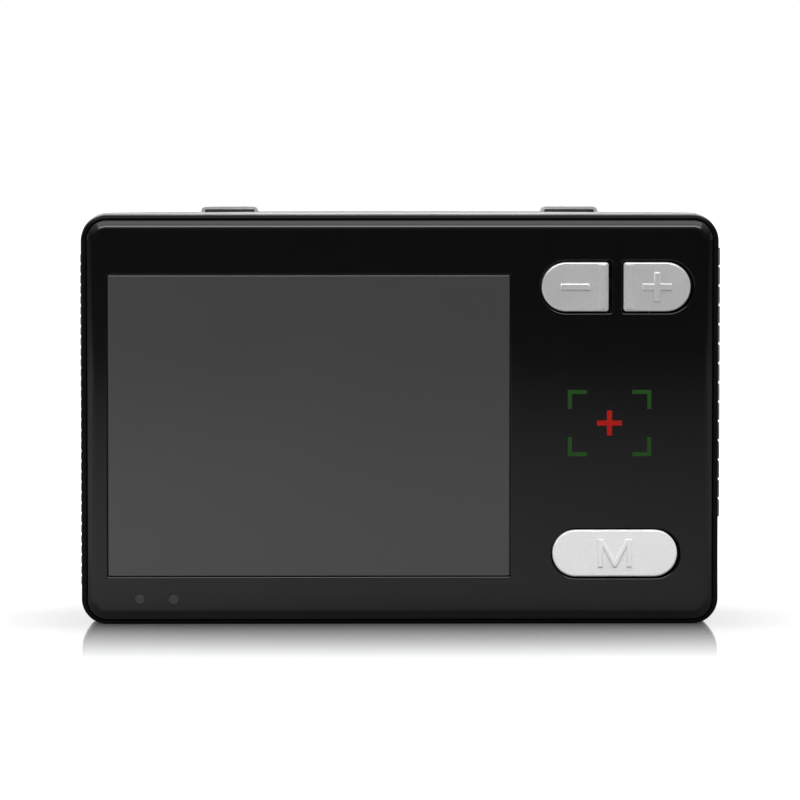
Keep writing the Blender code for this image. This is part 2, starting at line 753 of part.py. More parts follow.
def build_rear_housing(finishes, body):
    """The rear shell, with the battery bay, the camera's seat and the screw posts inside it."""
    mesh = prism(body_outline(0), REAR_SHELL_FRONT, BODY_DEPTH)
    round_rim(mesh, BODY_DEPTH, BACK_ROUND, BACK_STEPS)
    shell = add_piece("rear_housing", mesh, finishes["shell"], body, body_place())
    cut(shell, "cavity", prism(body_outline(WALL), REAR_SHELL_FRONT - OVERCUT, BACK_INSIDE))

    rail_half = DOOR_HEIGHT / 2 + DOOR_FLANGE_LIP + CLEARANCE
    tub_half = BAY_HALF_HEIGHT + BAY_WALL
    bed_half = rail_half + BAY_WALL
    tub_right = DOOR_RIGHT + CLEARANCE + BAY_WALL
    tub = slab(
        BAY_LEFT - BAY_WALL,
        tub_right,
        BAY_FLOOR_FRONT,
        BACK_INSIDE + JOINED,
        MID_HEIGHT - tub_half,
        MID_HEIGHT + tub_half,
    )
    join(shell, "battery_tub", tub)
    bed = slab(
        WALL - HALF_WIDTH - JOINED,
        tub_right + JOINED,
        DOOR_FRONT - CLEARANCE - BAY_WALL,
        BACK_INSIDE + JOINED,
        MID_HEIGHT - bed_half,
        MID_HEIGHT + bed_half,
    )
    join(shell, "rail_bed", bed)
    corner = [
        rod(x, z, CORNER_POST_RADIUS, REAR_SHELL_FRONT + CLEARANCE, BACK_INSIDE + JOINED)
        for x, z in corner_post_places()
    ]
    join(shell, "corner_posts", merged(corner))
    inner = [
        rod(x, z, INNER_POST_RADIUS, BOARD_BACK + SOLDER_GAP, BACK_INSIDE + JOINED, POST_STEPS)
        for x, z in board_post_places()
    ]
    inner += [
        rod(x, z, INNER_POST_RADIUS, CAMERA_BOARD_BACK + SOLDER_GAP, BACK_INSIDE + JOINED, POST_STEPS)
        for x, z in camera_post_places()
    ]
    join(shell, "inner_posts", merged(inner))
    boss = WINDOW_RADIUS + CAMERA_BOSS_WALL
    boss_front = BACK_INSIDE - CAMERA_BOSS_DEPTH
    join(shell, "camera_boss", rod(CAMERA_X, CAMERA_Z, boss, boss_front, BODY_DEPTH - FIT))

    through = BODY_DEPTH + OVERCUT
    outside = -HALF_WIDTH - OVERCUT
    bay_hollow = slab(
        BAY_LEFT,
        BAY_RIGHT,
        BAY_FLOOR_BACK,
        DOOR_FRONT,
        MID_HEIGHT - BAY_HALF_HEIGHT,
        MID_HEIGHT + BAY_HALF_HEIGHT,
    )
    cut(shell, "bay_hollow", bay_hollow)
    rail = slab(
        outside,
        BAY_RIGHT + CLEARANCE,
        DOOR_FRONT - CLEARANCE,
        DOOR_PLATE_FRONT + CLEARANCE,
        MID_HEIGHT - rail_half,
        MID_HEIGHT + rail_half,
    )
    cut(shell, "door_rail", rail)
    plate_half = DOOR_HEIGHT / 2 + FIT
    recess = slab(
        outside,
        DOOR_RIGHT + FIT,
        DOOR_PLATE_FRONT - JOINED - FIT,
        through,
        MID_HEIGHT - plate_half,
        MID_HEIGHT + plate_half,
    )
    cut(shell, "door_recess", recess)
    cut_camera_seat(shell, through)
    cut_screw_holes(shell, through)
    seats = [
        rod(x, z, FOOT_RADIUS + FIT, BODY_DEPTH - FOOT_SEAT, through) for x, z in foot_places()
    ]
    cut(shell, "foot_seats", merged(seats))


def window_back():
    """The depth of the camera window's outer face."""
    return BODY_DEPTH - CAMERA_RING_SEAT - SEAM / 2


def cut_camera_seat(shell, through):
    """Cut the stepped hole for the camera's ring and window, and the holes for its lights."""
    ledge = window_back() - WINDOW_THICKNESS - SEAM / 2
    seat = turned(
        (
            (0, BACK_INSIDE - CAMERA_BOSS_DEPTH - OVERCUT),
            (WINDOW_RADIUS - WINDOW_LEDGE, BACK_INSIDE - CAMERA_BOSS_DEPTH - OVERCUT),
            (WINDOW_RADIUS - WINDOW_LEDGE, ledge),
            (WINDOW_RADIUS + FIT, ledge),
            (WINDOW_RADIUS + FIT, BODY_DEPTH - CAMERA_RING_SEAT),
            (CAMERA_RING_RADIUS + FIT, BODY_DEPTH - CAMERA_RING_SEAT),
            (CAMERA_RING_RADIUS + FIT, through),
            (0, through),
        ),
        CAMERA_X,
        CAMERA_Z,
    )
    cut(shell, "camera_seat", seat)
    holes = [
        rod(x, z, LIGHT_RADIUS + FIT, BACK_INSIDE - OVERCUT, through, POST_STEPS)
        for x, z in light_places()
    ]
    cut(shell, "light_holes", merged(holes))


def cut_screw_holes(shell, through):
    """Cut the housing screws' stepped holes and the pilot holes of the inner posts."""
    holes = []
    for x, z in corner_post_places():
        profile = (
            (0, REAR_SHELL_FRONT - OVERCUT),
            (SCREW_RADIUS + FIT, REAR_SHELL_FRONT - OVERCUT),
            (SCREW_RADIUS + FIT, SCREW_HEAD_FRONT - FIT),
            (SCREW_HEAD_RADIUS + FIT, SCREW_HEAD_FRONT - FIT),
            (SCREW_HEAD_RADIUS + FIT, through),
            (0, through),
        )
        holes.append(turned(profile, x, z, POST_STEPS))
    cut(shell, "screw_holes", merged(holes))
    pilot = INNER_SCREW_RADIUS + FIT
    starts = [(place, BOARD_BACK) for place in board_post_places()]
    starts += [(place, CAMERA_BOARD_BACK) for place in camera_post_places()]
    pilots = [
        rod(x, z, pilot, start - OVERCUT, start + INNER_SCREW_GRIP + CLEARANCE, POST_STEPS)
        for (x, z), start in starts
    ]
    cut(shell, "pilot_holes", merged(pilots))


def build_front_keys(finishes, body):
    """The minus, plus and mode keys, each with its flange and stem and the plunger it presses."""
    stem_end = BOARD_FRONT - SOLDER_GAP - SWITCH_THICKNESS - PLUNGER_OUT - PLUNGER_STANDOFF
    flange_front = FLOOR_BACK + CLEARANCE
    flange_back = flange_front + KEY_FLANGE_THICKNESS
    for name, limits in key_limits().items():
        x, z = key_centre(limits)
        axis = add_empty(f"{name}_travel", (x, at_depth(0), z), body)
        mesh = round_rim(
            prism(grown_key_outline(limits, 0), -KEY_PROUD, flange_front + JOINED), -KEY_PROUD, KEY_EDGE
        )
        key = add_piece(name, mesh, finishes["silver"], axis, (x, at_depth(0), z))
        flange = prism(grown_key_outline(limits, KEY_FLANGE_LIP), flange_front, flange_back)
        join(key, "flange", flange)
        join(key, "stem", rod(x, z, KEY_STEM_RADIUS, flange_back - JOINED, stem_end, POST_STEPS))
        mark_front = -KEY_PROUD - MARK_HEIGHT
        mark_back = JOINED - KEY_PROUD
        if name == "minus_key":
            join(key, "mark", centred_slab(x, z, MARK_LENGTH, MARK_BAR, mark_front, mark_back))
            add_ridge(key, limits[1] - KEY_EDGE - ZOOM_RIDGE_WIDTH, limits)
        if name == "plus_key":
            join(key, "mark", cross_prism(x, z, MARK_LENGTH, MARK_BAR, mark_front, mark_back))
            add_ridge(key, limits[0] + KEY_EDGE, limits)
        add_switch(name, x, z, finishes, body, axis)


def add_ridge(key, left, limits):
    """The raised strip at a zoom key's square end, which a finger feels for."""
    bottom = limits[2] + KEY_EDGE
    top = limits[3] - KEY_EDGE
    front = -KEY_PROUD - ZOOM_RIDGE_HEIGHT
    join(key, "ridge", slab(left, left + ZOOM_RIDGE_WIDTH, front, JOINED - KEY_PROUD, bottom, top))


def add_switch(key_name, x, z, finishes, body, axis):
    """The board switch behind a front key, and its plunger."""
    stem = key_name.removesuffix("_key")
    back = BOARD_FRONT - SOLDER_GAP
    front = back - SWITCH_THICKNESS
    mesh = centred_slab(x, z, SWITCH_WIDTH, SWITCH_WIDTH, front, back, KEY_CORNER)
    switch = add_piece(f"{stem}_switch", mesh, finishes["component"], body, (x, at_depth(front), z))
    well = PLUNGER_IN + KEY_TRAVEL + FIT
    cut(switch, "well", rod(x, z, SWITCH_PLUNGER_RADIUS + FIT, front - OVERCUT, front + well, POST_STEPS))
    plunger = rod(x, z, SWITCH_PLUNGER_RADIUS, front - PLUNGER_OUT, front + PLUNGER_IN, POST_STEPS)
    add_piece(f"{stem}_plunger", plunger, finishes["dark"], axis, (x, at_depth(front), z))


def build_top_keys(finishes, body):
    """The power and freeze keys on the top edge, with their switches and plungers."""
    key_top = BODY_HEIGHT + BAND_PROUD + BAND_CROWN + TOP_KEY_PROUD
    flange_top = INNER_TOP - CLEARANCE
    flange_bottom = flange_top - KEY_FLANGE_THICKNESS
    switch_top = board_top() - TOP_SWITCH_SETBACK - TOP_KEY_TRAVEL
    stem_bottom = switch_top + PLUNGER_OUT + PLUNGER_STANDOFF
    depth = BOARD_BACK + SOLDER_GAP + TOP_SWITCH_DEPTH / 2
    for x, stem in zip(top_key_places(), ("power", "freeze")):
        place = (x, at_depth(BAND_MIDDLE), key_top)
        axis = add_empty(f"{stem}_key_travel", place, body)
        mesh = top_key_slab(x, 0, flange_top - JOINED, key_top)
        round_top_key(mesh, key_top)
        key = add_piece(f"{stem}_key", mesh, finishes["silver"], axis, place)
        lip = KEY_FLANGE_LIP
        join(key, "flange", top_key_slab(x, lip, flange_bottom, flange_top))
        stem_rod = upright_rod(x, depth, TOP_KEY_STEM_RADIUS, stem_bottom, flange_bottom + JOINED)
        join(key, "stem", stem_rod)
        bottom = switch_top - TOP_SWITCH_HEIGHT
        half = SWITCH_WIDTH / 2
        half_depth = TOP_SWITCH_DEPTH / 2
        mesh = slab(x - half, x + half, depth - half_depth, depth + half_depth, bottom, switch_top)
        switch = add_piece(
            f"{stem}_switch", mesh, finishes["component"], body, (x, at_depth(depth), switch_top)
        )
        well_floor = switch_top - PLUNGER_IN - TOP_KEY_TRAVEL - FIT
        well = upright_rod(x, depth, TOP_PLUNGER_RADIUS + FIT, well_floor, switch_top + OVERCUT)
        cut(switch, "well", well)
        plunger = upright_rod(
            x, depth, TOP_PLUNGER_RADIUS, switch_top - PLUNGER_IN, switch_top + PLUNGER_OUT
        )
        add_piece(
            f"{stem}_plunger", plunger, finishes["dark"], axis, (x, at_depth(depth), switch_top)
        )


def round_top_key(mesh, key_top):
    """Round the two ends of a top key where they meet its top."""
    ends = [edge for edge in edges_at(mesh, 2, key_top) if abs(edge.verts[0].co.x - edge.verts[1].co.x) < FIT]
    bmesh.ops.bevel(
        mesh, geom=ends, offset=TOP_KEY_ROUND, segments=EDGE_STEPS, profile=0.5, affect="EDGES"
    )


def board_top():
    """The height of the main board's top edge."""
    return INNER_TOP - BOARD_TOP_GAP


def build_board(finishes, body):
    """The main board, notched for the corner posts, with its chips, lamps' LEDs and screws."""
    right = HALF_WIDTH - WALL - BOARD_SIDE_GAP
    bottom = WALL + BOARD_SIDE_GAP
    mesh = slab(-right, right, BOARD_FRONT, BOARD_BACK, bottom, board_top())
    board = add_piece("main_board", mesh, finishes["board"], body, (0, at_depth(BOARD_FRONT), MID_HEIGHT))
    notch = CORNER_POST_RADIUS + CLEARANCE
    notches = []
    for x, z in corner_post_places():
        outer = math.copysign(HALF_WIDTH, x)
        left, end = sorted((x - math.copysign(notch, x), outer))
        low, high = (0, z + notch) if z < MID_HEIGHT else (z - notch, BODY_HEIGHT)
        notches.append(slab(left, end, BOARD_FRONT - OVERCUT, BOARD_BACK + OVERCUT, low, high))
    cut(board, "corner_notches", merged(notches))
    holes = [
        rod(x, z, INNER_SCREW_RADIUS + FIT, BOARD_FRONT - OVERCUT, BOARD_BACK + OVERCUT, POST_STEPS)
        for x, z in board_post_places()
    ]
    cut(board, "screw_holes", merged(holes))
    for number, (x, z) in enumerate(board_post_places(), 1):
        add_inner_screw(f"board_screw_{number}", x, z, BOARD_FRONT, finishes, body)

    chip_front = BOARD_BACK + SOLDER_GAP
    chip_back = chip_front + CHIP_THICKNESS
    processor_x = BAY_RIGHT - PROCESSOR_WIDTH / 2
    chip = centred_slab(processor_x, MID_HEIGHT, PROCESSOR_WIDTH, PROCESSOR_WIDTH, chip_front, chip_back)
    add_piece("processor", chip, finishes["dark"], body, (processor_x, at_depth(chip_front), MID_HEIGHT))
    memory_x = processor_x - PROCESSOR_WIDTH / 2 - CHIP_SPACING
    chip = centred_slab(memory_x, MID_HEIGHT, MEMORY_WIDTH, MEMORY_HEIGHT, chip_front, chip_back)
    add_piece("memory_chip", chip, finishes["dark"], body, (memory_x, at_depth(chip_front), MID_HEIGHT))

    led_back = BOARD_FRONT - SOLDER_GAP
    led_front = led_back - LAMP_LED_THICKNESS
    for (x, z), name in zip(lamp_places(), ("power", "charge")):
        led = centred_slab(x, z, LAMP_LED_WIDTH, LAMP_LED_HEIGHT, led_front, led_back)
        add_piece(f"{name}_led", led, finishes["lamp"], body, (x, at_depth(led_front), z))
        pipe = rod(x, z, LAMP_RADIUS, 0, led_front - SOLDER_GAP, POST_STEPS)
        add_piece(f"{name}_light_pipe", pipe, finishes["lamp"], body, (x, at_depth(0), z))


def add_inner_screw(name, x, z, seat, finishes, body):
    """A small screw that holds a board to a post, its head in front of the board."""
    under_head = seat - FIT
    profile = (
        (0, under_head - INNER_SCREW_HEAD_THICKNESS),
        (INNER_SCREW_HEAD_RADIUS, under_head - INNER_SCREW_HEAD_THICKNESS),
        (INNER_SCREW_HEAD_RADIUS, under_head),
        (INNER_SCREW_RADIUS, under_head),
        (INNER_SCREW_RADIUS, seat + INNER_SCREW_GRIP),
        (0, seat + INNER_SCREW_GRIP),
    )
    add_piece(name, turned(profile, x, z, POST_STEPS), finishes["steel"], body, (x, at_depth(seat), z))


def display_slab(inset, front, back):
    """The display module's outline, pulled in by inset, between two depths."""
    return slab(
        DISPLAY_LEFT + inset,
        DISPLAY_RIGHT - inset,
        front,
        back,
        DISPLAY_BOTTOM + inset,
        DISPLAY_TOP - inset,
        DISPLAY_CORNER - inset,
    )


def build_display(finishes, body):
    """The display's glass, the lit tray behind it and the ribbon to the main board."""
    middle_x = (DISPLAY_LEFT + DISPLAY_RIGHT) / 2
    middle_z = (DISPLAY_BOTTOM + DISPLAY_TOP) / 2
    tray = display_slab(0, DISPLAY_FRONT, DISPLAY_BACK)
    place = (middle_x, at_depth(DISPLAY_FRONT), middle_z)
    backlight = add_piece("display_backlight", tray, finishes["steel"], body, place)
    edge = DISPLAY_TRAY_WALL
    glass_back = DISPLAY_FRONT + DISPLAY_GLASS_THICKNESS
    cut(backlight, "glass_pocket", display_slab(edge, DISPLAY_FRONT - OVERCUT, glass_back + FIT))
    glass = display_slab(edge + FIT, DISPLAY_FRONT, glass_back)
    add_piece("display_glass", glass, finishes["glass"], body, place)
    ribbon_up = DISPLAY_TOP + CLEARANCE + RIBBON_THICKNESS / 2
    ribbon_back = DISPLAY_BACK + CLEARANCE + RIBBON_THICKNESS
    route = (
        (DISPLAY_FRONT + DISPLAY_GLASS_THICKNESS, ribbon_up),
        (ribbon_back, ribbon_up),
        (ribbon_back, DISPLAY_TOP - DISPLAY_RIBBON_DROP),
        (BOARD_FRONT - CLEARANCE, DISPLAY_TOP - DISPLAY_RIBBON_DROP - CLEARANCE * 2),
    )
    add_ribbon("display_ribbon", middle_x, DISPLAY_RIBBON_WIDTH, route, finishes, body)


def add_ribbon(name, x, width, route, finishes, body):
    """A flat flexible cable: a line of (depth, height) points drawn across and given a thickness."""
    mesh = bmesh.new()
    verts = [mesh.verts.new((x - width / 2, at_depth(depth), z)) for depth, z in route]
    edges = [mesh.edges.new(pair) for pair in zip(verts, verts[1:])]
    drawn = bmesh.ops.extrude_edge_only(mesh, edges=edges)["geom"]
    moved = [item for item in drawn if isinstance(item, bmesh.types.BMVert)]
    bmesh.ops.translate(mesh, verts=moved, vec=(width, 0, 0))
    bmesh.ops.recalc_face_normals(mesh, faces=mesh.faces)
    start_depth, start_z = route[0]
    ribbon = add_piece(name, mesh, finishes["ribbon"], body, (x, at_depth(start_depth), start_z))
    skin = ribbon.modifiers.new("thickness", "SOLIDIFY")
    skin.thickness = RIBBON_THICKNESS
    skin.offset = 0
    skin.use_even_offset = True


def build_camera(finishes, body):
    """The camera: its board, chip, lens holder, barrel and lens, its window, ring and lights."""
    board = centred_slab(
        CAMERA_X, CAMERA_Z, CAMERA_BOARD_WIDTH, CAMERA_BOARD_HEIGHT, CAMERA_BOARD_DEPTH, CAMERA_BOARD_BACK
    )
    place = (CAMERA_X, at_depth(CAMERA_BOARD_DEPTH), CAMERA_Z)
    piece = add_piece("camera_board", board, finishes["board"], body, place)
    holes = [
        rod(
            x,
            z,
            INNER_SCREW_RADIUS + FIT,
            CAMERA_BOARD_DEPTH - OVERCUT,
            CAMERA_BOARD_BACK + OVERCUT,
            POST_STEPS,
        )
        for x, z in camera_post_places()
    ]
    cut(piece, "screw_holes", merged(holes))
    for number, (x, z) in enumerate(camera_post_places(), 1):
        add_inner_screw(f"camera_screw_{number}", x, z, CAMERA_BOARD_DEPTH, finishes, body)

    base = CAMERA_BOARD_BACK + SOLDER_GAP
    sensor = centred_slab(CAMERA_X, CAMERA_Z, SENSOR_WIDTH, SENSOR_WIDTH, base, base + SENSOR_THICKNESS)
    add_piece("image_sensor", sensor, finishes["dark"], body, place)

    tube_front = base + HOLDER_BASE_THICKNESS
    tube_back = tube_front + HOLDER_TUBE_LENGTH
    bore = BARREL_RADIUS + FIT
    holder_mesh = centred_slab(CAMERA_X, CAMERA_Z, HOLDER_WIDTH, HOLDER_WIDTH, base, tube_front, KEY_CORNER)
    holder = add_piece("lens_holder", holder_mesh, finishes["dark"], body, place)
    join(holder, "tube", rod(CAMERA_X, CAMERA_Z, bore + HOLDER_WALL, tube_front - JOINED, tube_back))
    chip_room = SENSOR_WIDTH + CLEARANCE * 2
    room_back = base + SENSOR_THICKNESS + CLEARANCE
    chip_seat = centred_slab(CAMERA_X, CAMERA_Z, chip_room, chip_room, base - OVERCUT, room_back)
    cut(holder, "chip_room", chip_seat)
    cut(holder, "bore", rod(CAMERA_X, CAMERA_Z, bore, room_back - JOINED, tube_back + OVERCUT))

    barrel_front = room_back + CLEARANCE
    barrel_back = barrel_front + BARREL_LENGTH
    seat = barrel_back - LENS_SEAT_DEPTH
    profile = (
        (BARREL_BORE, barrel_front),
        (BARREL_RADIUS, barrel_front),
        (BARREL_RADIUS, barrel_back),
        (LENS_RADIUS + FIT, barrel_back),
        (LENS_RADIUS + FIT, seat),
        (BARREL_BORE, seat),
    )
    barrel = turned(profile, CAMERA_X, CAMERA_Z, ring=True)
    add_piece("lens_barrel", barrel, finishes["dark"], body, place)
    lens_front = seat + CLEARANCE
    add_piece("objective_lens", lens_mesh(lens_front), finishes["glass"], body, place)

    outer = window_back()
    window = rod(CAMERA_X, CAMERA_Z, WINDOW_RADIUS, outer - WINDOW_THICKNESS, outer)
    add_piece("camera_window", window, finishes["glass"], body, place)
    ring_front = BODY_DEPTH - CAMERA_RING_SEAT + SEAM / 2
    ring_back = BODY_DEPTH + CAMERA_RING_PROUD
    ring_bore = WINDOW_RADIUS - CAMERA_RING_LIP
    ring = turned(
        (
            (ring_bore, ring_front),
            (CAMERA_RING_RADIUS, ring_front),
            (CAMERA_RING_RADIUS, ring_back),
            (ring_bore + CAMERA_RING_LIP, ring_back),
            (ring_bore, ring_back - CAMERA_RING_LIP),
        ),
        CAMERA_X,
        CAMERA_Z,
        ring=True,
    )
    add_piece("camera_ring", ring, finishes["silver"], body, place)
    for (x, z), name in zip(light_places(), ("lower", "upper")):
        add_piece(f"{name}_light", light_mesh(x, z), finishes["lamp"], body, (x, place[1], z))
    start = CAMERA_BOARD_DEPTH - CLEARANCE
    low = CAMERA_Z - CAMERA_BOARD_HEIGHT / 2
    end = BOARD_BACK + CLEARANCE + RIBBON_THICKNESS
    route = (
        (start, low + CAMERA_RIBBON_DROP),
        (start, low),
        (end, low - CAMERA_RIBBON_DROP / 2),
        (end, low - CAMERA_RIBBON_DROP),
    )
    add_ribbon("camera_ribbon", CAMERA_X, CAMERA_RIBBON_WIDTH, route, finishes, body)


def lens_mesh(front):
    """The objective: a disc whose two faces bulge."""
    steps = EDGE_STEPS
    rise = [LENS_BULGE * math.cos(math.pi / 2 * step / steps) for step in range(steps + 1)]
    out = [LENS_RADIUS * math.sin(math.pi / 2 * step / steps) for step in range(steps + 1)]
    near = [(radius, front + LENS_BULGE - up) for radius, up in zip(out, rise)]
    far = [(radius, front + LENS_BULGE + LENS_EDGE + up) for radius, up in zip(out, rise)]
    return turned(near + far[::-1], CAMERA_X, CAMERA_Z)


def light_mesh(x, z):
    """A white light with legs, a flange and a domed end, facing the back."""
    base = CAMERA_BOARD_BACK + SOLDER_GAP
    tip = BODY_DEPTH - LIGHT_RECESS
    shoulder = tip - LIGHT_RADIUS
    flange_back = shoulder - LIGHT_BODY_LENGTH + LIGHT_RADIUS
    flange_front = flange_back - LIGHT_FLANGE * 2
    profile = [
        (0, base),
        (LIGHT_LEG_RADIUS, base),
        (LIGHT_LEG_RADIUS, flange_front),
        (LIGHT_RADIUS + LIGHT_FLANGE, flange_front),
        (LIGHT_RADIUS + LIGHT_FLANGE, flange_back),
        (LIGHT_RADIUS, flange_back),
    ]
    dome_steps = BACK_STEPS
    for step in range(dome_steps + 1):
        angle = math.pi / 2 * step / dome_steps
        radius = LIGHT_RADIUS * math.cos(angle) if step < dome_steps else 0
        profile.append((radius, shoulder + LIGHT_RADIUS * math.sin(angle)))
    return turned(profile, x, z, POST_STEPS)


def build_socket(finishes, body):
    """The charging socket in the right side, a steel shell round a contact tongue."""
    middle = (SOCKET_FRONT + SOCKET_BACK) / 2
    middle_z = (SOCKET_BOTTOM_MARGIN + SOCKET_TOP) / 2
    left = SOCKET_RIGHT - SOCKET_LENGTH
    mesh = slab(left, SOCKET_RIGHT, SOCKET_FRONT, SOCKET_BACK, SOCKET_BOTTOM_MARGIN, SOCKET_TOP)
    place = (SOCKET_RIGHT, at_depth(middle), middle_z)
    socket = add_piece("usb_socket", mesh, finishes["steel"], body, place)
    hollow_left = SOCKET_RIGHT - SOCKET_MOUTH_DEPTH
    hollow = slab(
        hollow_left,
        SOCKET_RIGHT + OVERCUT,
        SOCKET_FRONT + SOCKET_WALL,
        SOCKET_BACK - SOCKET_WALL,
        SOCKET_BOTTOM_MARGIN + SOCKET_WALL,
        SOCKET_TOP - SOCKET_WALL,
    )
    cut(socket, "mouth", hollow)
    half_width = SOCKET_TONGUE_WIDTH / 2
    half_thickness = SOCKET_TONGUE_THICKNESS / 2
    tongue = slab(
        hollow_left - JOINED,
        SOCKET_RIGHT - OVERCUT,
        middle - half_thickness,
        middle + half_thickness,
        middle_z - half_width,
        middle_z + half_width,
    )
    join(socket, "tongue", tongue)


def build_battery(finishes, body):
    """The battery, the contact block beside it and the door that slides off to the left."""
    middle = (BATTERY_LEFT + BATTERY_RIGHT) / 2
    half_height = BATTERY_HEIGHT / 2
    mesh = slab(
        BATTERY_LEFT,
        BATTERY_RIGHT,
        BATTERY_FRONT,
        BATTERY_BACK,
        MID_HEIGHT - half_height,
        MID_HEIGHT + half_height,
        BATTERY_EDGE,
    )
    add_piece("battery", mesh, finishes["battery"], body, (middle, at_depth(BATTERY_FRONT), MID_HEIGHT))
    left = BATTERY_RIGHT + CONTACT_FINGER
    right = BAY_RIGHT - FIT
    half_width = CONTACT_WIDTH / 2
    front = BAY_FLOOR_BACK + FIT
    back = front + CONTACT_THICKNESS
    mesh = slab(left, right, front, back, MID_HEIGHT - half_width, MID_HEIGHT + half_width)
    block = add_piece("battery_contacts", mesh, finishes["dark"], body, (left, at_depth(front), MID_HEIGHT))
    fingers = []
    for step in (-1, 0, 1):
        z = MID_HEIGHT + step * CONTACT_FINGER_PITCH
        half_finger = CONTACT_FINGER / 2
        fingers.append(
            slab(
                BATTERY_RIGHT + CLEARANCE,
                left + JOINED,
                front + CONTACT_FINGER,
                back - CONTACT_FINGER,
                z - half_finger,
                z + half_finger,
            )
        )
    join(block, "fingers", merged(fingers))

    door_left = -HALF_WIDTH
    place = (door_left, at_depth(BODY_DEPTH), MID_HEIGHT)
    axis = add_empty("battery_door_slide", place, body)
    door = add_piece("battery_door", door_mesh(door_left), finishes["shell"], axis, place)
    flange_half = DOOR_HEIGHT / 2 + DOOR_FLANGE_LIP
    flange = slab(
        door_left + CLEARANCE,
        BAY_RIGHT,
        DOOR_FRONT,
        DOOR_PLATE_FRONT,
        MID_HEIGHT - flange_half,
        MID_HEIGHT + flange_half,
    )
    join(door, "rails", flange)


def door_mesh(left):
    """The door's plate, its left end rounded over like the body's back edge."""
    half_height = DOOR_HEIGHT / 2
    front = DOOR_PLATE_FRONT - JOINED
    centre_x = left + BACK_ROUND
    centre_depth = BODY_DEPTH - BACK_ROUND
    reach = math.asin((front - centre_depth) / BACK_ROUND)
    profile = [(DOOR_RIGHT, front), (DOOR_RIGHT, BODY_DEPTH)]
    for step in range(BACK_STEPS + 1):
        angle = math.pi / 2 + (math.pi / 2 - reach) * step / BACK_STEPS
        x = centre_x + BACK_ROUND * math.cos(angle)
        profile.append((x, centre_depth + BACK_ROUND * math.sin(angle)))
    mesh = bmesh.new()
    bottom = MID_HEIGHT - half_height
    face = mesh.faces.new([mesh.verts.new((x, at_depth(depth), bottom)) for x, depth in profile])
    drawn = bmesh.ops.extrude_face_region(mesh, geom=[face])["geom"]
    moved = [item for item in drawn if isinstance(item, bmesh.types.BMVert)]
    bmesh.ops.translate(mesh, verts=moved, vec=(0, 0, DOOR_HEIGHT))
    bmesh.ops.recalc_face_normals(mesh, faces=mesh.faces)
    return mesh


def build_screws_and_feet(finishes, body):
    """The four housing screws in their stepped holes and the four rubber feet on the back."""
    for number, (x, z) in enumerate(corner_post_places(), 1):
        profile = (
            (0, BAND_BACK - SCREW_GRIP),
            (SCREW_RADIUS, BAND_BACK - SCREW_GRIP),
            (SCREW_RADIUS, SCREW_HEAD_FRONT),
            (SCREW_HEAD_RADIUS, SCREW_HEAD_FRONT),
            (SCREW_HEAD_RADIUS, SCREW_HEAD_BACK),
            (0, SCREW_HEAD_BACK),
        )
        place = (x, at_depth(SCREW_HEAD_BACK), z)
        mesh = turned(profile, x, z, POST_STEPS)
        screw = add_piece(f"housing_screw_{number}", mesh, finishes["steel"], body, place)
        bottom = SCREW_HEAD_BACK - SCREW_CROSS_DEPTH
        top = SCREW_HEAD_BACK + OVERCUT
        cut(screw, "cross", cross_prism(x, z, SCREW_CROSS_LENGTH, SCREW_CROSS_BAR, bottom, top))
    for number, (x, z) in enumerate(foot_places(), 1):
        front = BODY_DEPTH - FOOT_SEAT + FIT
        back = BODY_DEPTH + FOOT_PROUD
        foot = round_rim(rod(x, z, FOOT_RADIUS, front, back), back, FOOT_ROUND)
        add_piece(f"rubber_foot_{number}", foot, finishes["rubber"], body, (x, at_depth(back), z))


def make_finishes():
    """The materials of the pieces, by name."""
    return {
        "panel": make_finish("gloss_black_panel", (0.012, 0.012, 0.013), 0.08),
        "window": make_finish("screen_window", (0.05, 0.05, 0.055), 0.05, transmission=0.9),
        "glass": make_finish("clear_glass", (0.30, 0.30, 0.32), 0.05, transmission=0.9),
        "shell": make_finish("black_shell", (0.015, 0.015, 0.015), 0.35),
        "silver": make_finish("satin_silver", (0.60, 0.60, 0.60), 0.35, metallic=0.8),
        "steel": make_finish("steel", (0.55, 0.55, 0.56), 0.3, metallic=1.0),
        "rubber": make_finish("rubber", (0.02, 0.02, 0.02), 0.8),
        "board": make_finish("circuit_board", (0.02, 0.14, 0.05), 0.5),
        "component": make_finish("switch_steel", (0.5, 0.5, 0.5), 0.4, metallic=0.6),
        "dark": make_finish("dark_plastic", (0.03, 0.03, 0.03), 0.5),
        "lamp": make_finish("lamp_lens", (0.75, 0.75, 0.72), 0.2),
        "ribbon": make_finish("ribbon_film", (0.55, 0.30, 0.06), 0.4),
        "battery": make_finish("battery_wrap", (0.10, 0.14, 0.22), 0.4),
    }


def main():
    """Build the whole magnifier."""
    clear_scene()
    finishes = make_finishes()
    body = add_empty("magnifier", (0.0, 0.0, 0.0))
    build_front_panel(finishes, body)
    build_front_housing(finishes, body)
    build_mid_frame(finishes, body)
    build_rear_housing(finishes, body)
    build_front_keys(finishes, body)
    build_top_keys(finishes, body)
    build_board(finishes, body)
    build_display(finishes, body)
    build_camera(finishes, body)
    build_socket(finishes, body)
    build_battery(finishes, body)
    build_screws_and_feet(finishes, body)


main()
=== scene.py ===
"""Dresses a hand-held low vision magnifier: glossy front, silver band and keys, black back with a camera."""

import logging
import math
from dataclasses import dataclass, replace
from enum import Enum
from typing import Callable, Iterable, Optional, Sequence

import bmesh
import bpy
from mathutils import Matrix, Vector


